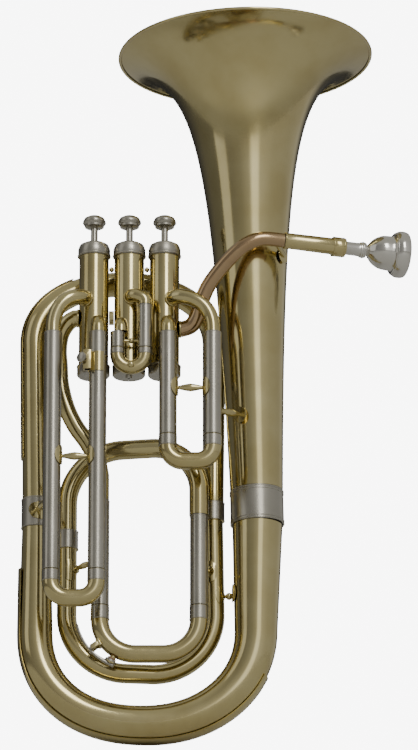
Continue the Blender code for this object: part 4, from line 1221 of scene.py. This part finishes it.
def valve_details():
    """The raised edges of the caps, the line round each button and the casing's lips."""
    rings = (
        ("top_cap_%d_bead", "top_cap_%d", 0.4640, CAP_RADIUS, 0.0018, 0.0006, "nickel"),
        ("bottom_cap_%d_bead", "bottom_cap_%d", 0.3547, CAP_RADIUS, 0.0016, 0.0006, "nickel"),
        ("finger_button_%d_line", "finger_button_%d", 0.4972, 0.0106, 0.0009, 0.0003, "nickel"),
        ("valve_casing_%d_bead_0", "valve_casing_%d", 0.3562, CASING_RADIUS, 0.0008, 0.0003, "brass"),
        ("valve_casing_%d_bead_1", "valve_casing_%d", 0.4622, CASING_RADIUS, 0.0008, 0.0003, "brass"),
    )
    for number in (1, 2, 3):
        for name, owner, z, radius, width, height, kind in rings:
            bead(name % number, owner % number, valve_place(number, z), UP, radius, width, height, kind)


def port_collars():
    """The raised collars where the bent tubes meet the casings."""
    z, turn, radius = LARGE_CROOK[:3]
    small_z, small_turn, small_radius = SMALL_CROOK[:3]
    ports = (
        ("slide_1_crook", 1, turn, z, radius),
        ("slide_3_crook", 3, -turn, z, radius),
        ("slide_2_crook", 2, small_turn, small_z, small_radius),
        ("leadpipe", 1, 90.0, LEADPIPE_PORT_Z, LEADPIPE_RADII[1]),
        ("exit_tube", 3, -90.0, EXIT_PORT_Z, EXIT_RADIUS),
    )
    for owner, number, degrees, height, pipe in ports:
        out = straight_ahead(math.radians(degrees))
        centre = valve_place(number, height) + out * (CASING_RADIUS + 0.0009)
        bead(owner + "_collar", owner, centre, out, pipe + 0.0001, 0.0018, 0.0006, "brass")


def mouthpipe_details():
    rings = (
        ("receiver_bead_0", "receiver", 0.0010, 0.0076, 0.0010, 0.0003, "brass"),
        ("receiver_bead_1", "receiver", 0.0472, 0.0091, 0.0010, 0.0003, "brass"),
        ("receiver_bead_2", "receiver", 0.0568, 0.0091, 0.0010, 0.0003, "brass"),
        ("mouthpiece_bead", "mouthpiece", 0.0758, 0.0071, 0.0022, 0.0007, "silver"),
        ("mouthpiece_rim_line", "mouthpiece", 0.1060, 0.0196, 0.0009, 0.0003, "silver"),
    )
    for name, owner, reach, radius, width, height, kind in rings:
        bead(name, owner, RECEIVER_START + RECEIVER_AXIS * reach, RECEIVER_AXIS, radius, width, height, kind)


def brace_feet():
    """The oval feet of the braces on the upright tubes."""
    for number in (1, 3):
        slide = SLIDES[number]
        for side, way in (("left", 1.0), ("right", -1.0)):
            name = "slide_%d_foot_%s" % (number, side)
            centre = Vector((slide[side + "_x"], slide["y"], slide["brace_z"]))
            owner = "slide_%d_sleeves" % number
            foot_plate(name, owner, centre, (way, -0.45, 0.0), SLEEVE_RADIUS, 0.0092, 0.0068)
    leg = Vector((INNER_LEG_X, INNER_LEG_LOW_Y, 0.0))
    loop = Vector((LOOP_LEFT_X, LOOP_LEFT_Y, 0.1660))
    middle = Vector((-BOW_HALF_SPAN, 0.0, 0.5 * (LEFT_FERRULE[0] + LEFT_FERRULE[1])))
    tail = Vector((BOW_HALF_SPAN, 0.0, 0.1430))
    feet = (
        ("left_stay", "left_ferrule", middle, (0.30, -1.0, 0.0), LEFT_FERRULE_RADIUS, 0.0086, 0.0086),
        ("loop_brace", "loop_brace", loop, (0.40, -0.92, 0.0), LOOP_RADIUS, 0.0105, 0.0072),
        ("tuning_brace", "tuning_brace", leg + UP * 0.1650, (-0.35, -0.94, 0.0), LOOP_RADIUS, 0.0100, 0.0070),
        ("bell_stay", "bell_brace_lower", leg + UP * 0.1430, (0.80, -0.60, 0.0), LOOP_RADIUS, 0.0098, 0.0066),
    )
    for name, *values in feet:
        foot_plate(name + "_foot", *values)
    foot_plate("bell_stay_foot_right", "bell_brace_lower", tail, (-1.0, -0.2, 0.0), 0.0209, 0.0085, 0.0070)


def slide_2_knob():
    """The pull knob on the front of the second slide's bow."""
    slide = SLIDES[2]
    centre = Vector((0.5 * (slide["left_x"] + slide["right_x"]), slide["y"] - SMALL_SLEEVE_RADIUS + 0.0004,
                     slide["low"]))
    profile = [(0.0, 0.0052), (0.0016, 0.0050), (0.0029, 0.0040), (0.0033, 0.0026), (0.0029, 0.0013),
               (0.0019, 0.0006), (0.0019, 0.0), (0.0, 0.0)]
    join("slide_2_bow", turned("slide_2_knob", profile, "brass", centre, straight_ahead(0.0), False))


# ---------------------------------------------------------------- finishing
def body_of_node():
    found = {}
    for body, members in frame["record"]["behaviour"]["bodies"].items():
        for member in members:
            found[member] = body
    return found


def fit_pieces():
    """Make each piece a plain mesh, shade it, and tie it to its CAD node and body. Returns those nodes."""
    bodies = body_of_node()
    used = set()
    for name in sorted(piece.name for piece in LOOKS.objects):
        piece = as_mesh(bpy.data.objects[name])
        piece.data.transform(piece.matrix_world)
        piece.matrix_world = Matrix.Identity(4)
        piece.data.shade_smooth()
        piece.data.set_sharp_from_angle(angle=SHARP_ANGLE)
        owner = OWNER.get(name, name).removesuffix("_look")
        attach(piece, bodies[owner])
        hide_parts(owner)
        if owner.startswith("valve_spring_"):
            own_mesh(piece)
        used.add(owner)
    return used


def finish_cad_pieces(used):
    """The pieces that stay as the CAD has them get their finish."""
    kinds = {slot: kind for kind, slot in SLOTS.items()}
    for entry in frame["record"]["subparts"]:
        if entry["node"] not in used:
            cad = frame["nodes"][entry["node"]]
            cad.data.materials.clear()
            cad.data.materials.append(MATERIALS[kinds[entry["material_slot"]]])


# ---------------------------------------------------------------- studio
def make_camera():
    data = bpy.data.cameras.new("camera")
    data.lens = CAMERA_LENS
    data.sensor_width = 36.0
    data.clip_end = 100.0
    camera = bpy.data.objects.new("camera", data)
    back = Vector((0.0, -math.cos(CAMERA_RISE), math.sin(CAMERA_RISE)))
    camera.location = CAMERA_TARGET + back * CAMERA_DISTANCE
    camera.rotation_euler = (-back).to_track_quat("-Z", "Y").to_euler()
    bpy.context.scene.collection.objects.link(camera)
    bpy.context.scene.camera = camera


def ramp(tree, value, stops):
    made = node(tree, "ShaderNodeValToRGB")
    elements = made.color_ramp.elements
    while len(elements) < len(stops):
        elements.new(0.5)
    for element, (place, grey) in zip(elements, stops):
        element.position = place
        element.color = (grey, grey, grey, 1.0)
    tree.links.new(value, made.inputs["Fac"])
    return made.outputs["Color"]


def make_world():
    """White to the eye; what the metal mirrors is a soft studio, brighter to the right and dark behind."""
    world = bpy.data.worlds.new("studio")
    bpy.context.scene.world = world
    world.use_nodes = True
    tree = world.node_tree
    background = tree.nodes["Background"]
    coords = node(tree, "ShaderNodeTexCoord")
    split = node(tree, "ShaderNodeSeparateXYZ")
    tree.links.new(coords.outputs["Generated"], split.inputs["Vector"])
    front = node(tree, "ShaderNodeMath", operation="MULTIPLY")
    front.inputs[1].default_value = -1.0
    tree.links.new(split.outputs["Y"], front.inputs[0])
    turn = node(tree, "ShaderNodeMath", operation="ARCTAN2")
    tree.links.new(split.outputs["X"], turn.inputs[0])
    tree.links.new(front.outputs["Value"], turn.inputs[1])
    round_room = ramp(tree, ranged(tree, turn.outputs["Value"], -math.pi, math.pi, 0.0, 1.0), room_stops())
    roof = node(tree, "ShaderNodeMix", data_type="RGBA")
    roof.inputs["B"].default_value = (0.45, 0.45, 0.43, 1.0)
    tree.links.new(ranged(tree, split.outputs["Z"], 0.55, 0.85, 0.0, 1.0), roof.inputs["Factor"])
    tree.links.new(round_room, roof.inputs["A"])
    eye = node(tree, "ShaderNodeLightPath")
    seen = node(tree, "ShaderNodeMix", data_type="RGBA")
    seen.inputs["B"].default_value = (WHITE, WHITE, WHITE, 1.0)
    tree.links.new(eye.outputs["Is Camera Ray"], seen.inputs["Factor"])
    tree.links.new(roof.outputs["Result"], seen.inputs["A"])
    tree.links.new(seen.outputs["Result"], background.inputs["Color"])


def room_stops():
    return [(0.5 + degrees / 360.0, grey) for degrees, grey in ROOM]


def make_light(name, place, width, height, power):
    data = bpy.data.lights.new(name, "AREA")
    data.shape = "RECTANGLE"
    data.size = width
    data.size_y = height
    data.energy = power
    light = bpy.data.objects.new(name, data)
    light.location = place
    light.rotation_euler = (CAMERA_TARGET - Vector(place)).to_track_quat("-Z", "Y").to_euler()
    bpy.context.scene.collection.objects.link(light)


def make_floor():
    """A pale floor under the horn, seen from above only."""
    mesh = bpy.data.meshes.new("floor")
    half = FLOOR_HALF_SIZE
    corners = [(-half, -half, 0.0), (half, -half, 0.0), (half, half, 0.0), (-half, half, 0.0)]
    mesh.from_pydata(corners, [], [(0, 1, 2, 3)])
    floor = bpy.data.objects.new("floor", mesh)
    floor.location = (0.0, 0.0, FLOOR_Z)
    bpy.context.scene.collection.objects.link(floor)
    material, tree, shader = new_material("floor")
    tree.links.new(mixed(tree, noise(tree, 3.0, 2.0), (0.82, 0.82, 0.81), (0.78, 0.78, 0.77)),
                   shader.inputs["Base Color"])
    shader.inputs["Emission Color"].default_value = (0.95, 0.95, 0.93, 1.0)
    path = node(tree, "ShaderNodeLightPath")
    glow = ranged(tree, path.outputs["Is Camera Ray"], 0.0, 1.0, 0.0, 0.9)
    tree.links.new(glow, shader.inputs["Emission Strength"])
    shader.inputs["Roughness"].default_value = 0.7
    clear = node(tree, "ShaderNodeBsdfTransparent")
    side = node(tree, "ShaderNodeNewGeometry")
    mix = node(tree, "ShaderNodeMixShader")
    tree.links.new(side.outputs["Backfacing"], mix.inputs[0])
    tree.links.new(shader.outputs["BSDF"], mix.inputs[1])
    tree.links.new(clear.outputs["BSDF"], mix.inputs[2])
    tree.links.new(mix.outputs["Shader"], tree.nodes["Material Output"].inputs["Surface"])
    mesh.materials.append(material)


def main():
    make_bell()
    make_bottom_bow()
    make_bottom_guard()
    make_joint_ferrules()
    make_top_bow()
    make_top_guard()
    make_inner_loop()
    make_arch()
    make_exit_tube()
    make_tuning_slide()
    make_water_key()
    make_water_key_spring()
    make_slides()
    make_valves()
    make_mouthpipe()
    make_mouthpiece()
    make_braces()
    make_lyre_holder()
    slide_details()
    tuning_details()
    ferrule_details()
    valve_details()
    port_collars()
    mouthpipe_details()
    brace_feet()
    slide_2_knob()
    finish_cad_pieces(fit_pieces())
    make_camera()
    make_world()
    for name, values in LIGHTS.items():
        make_light(name, *values)
    make_floor()


main()
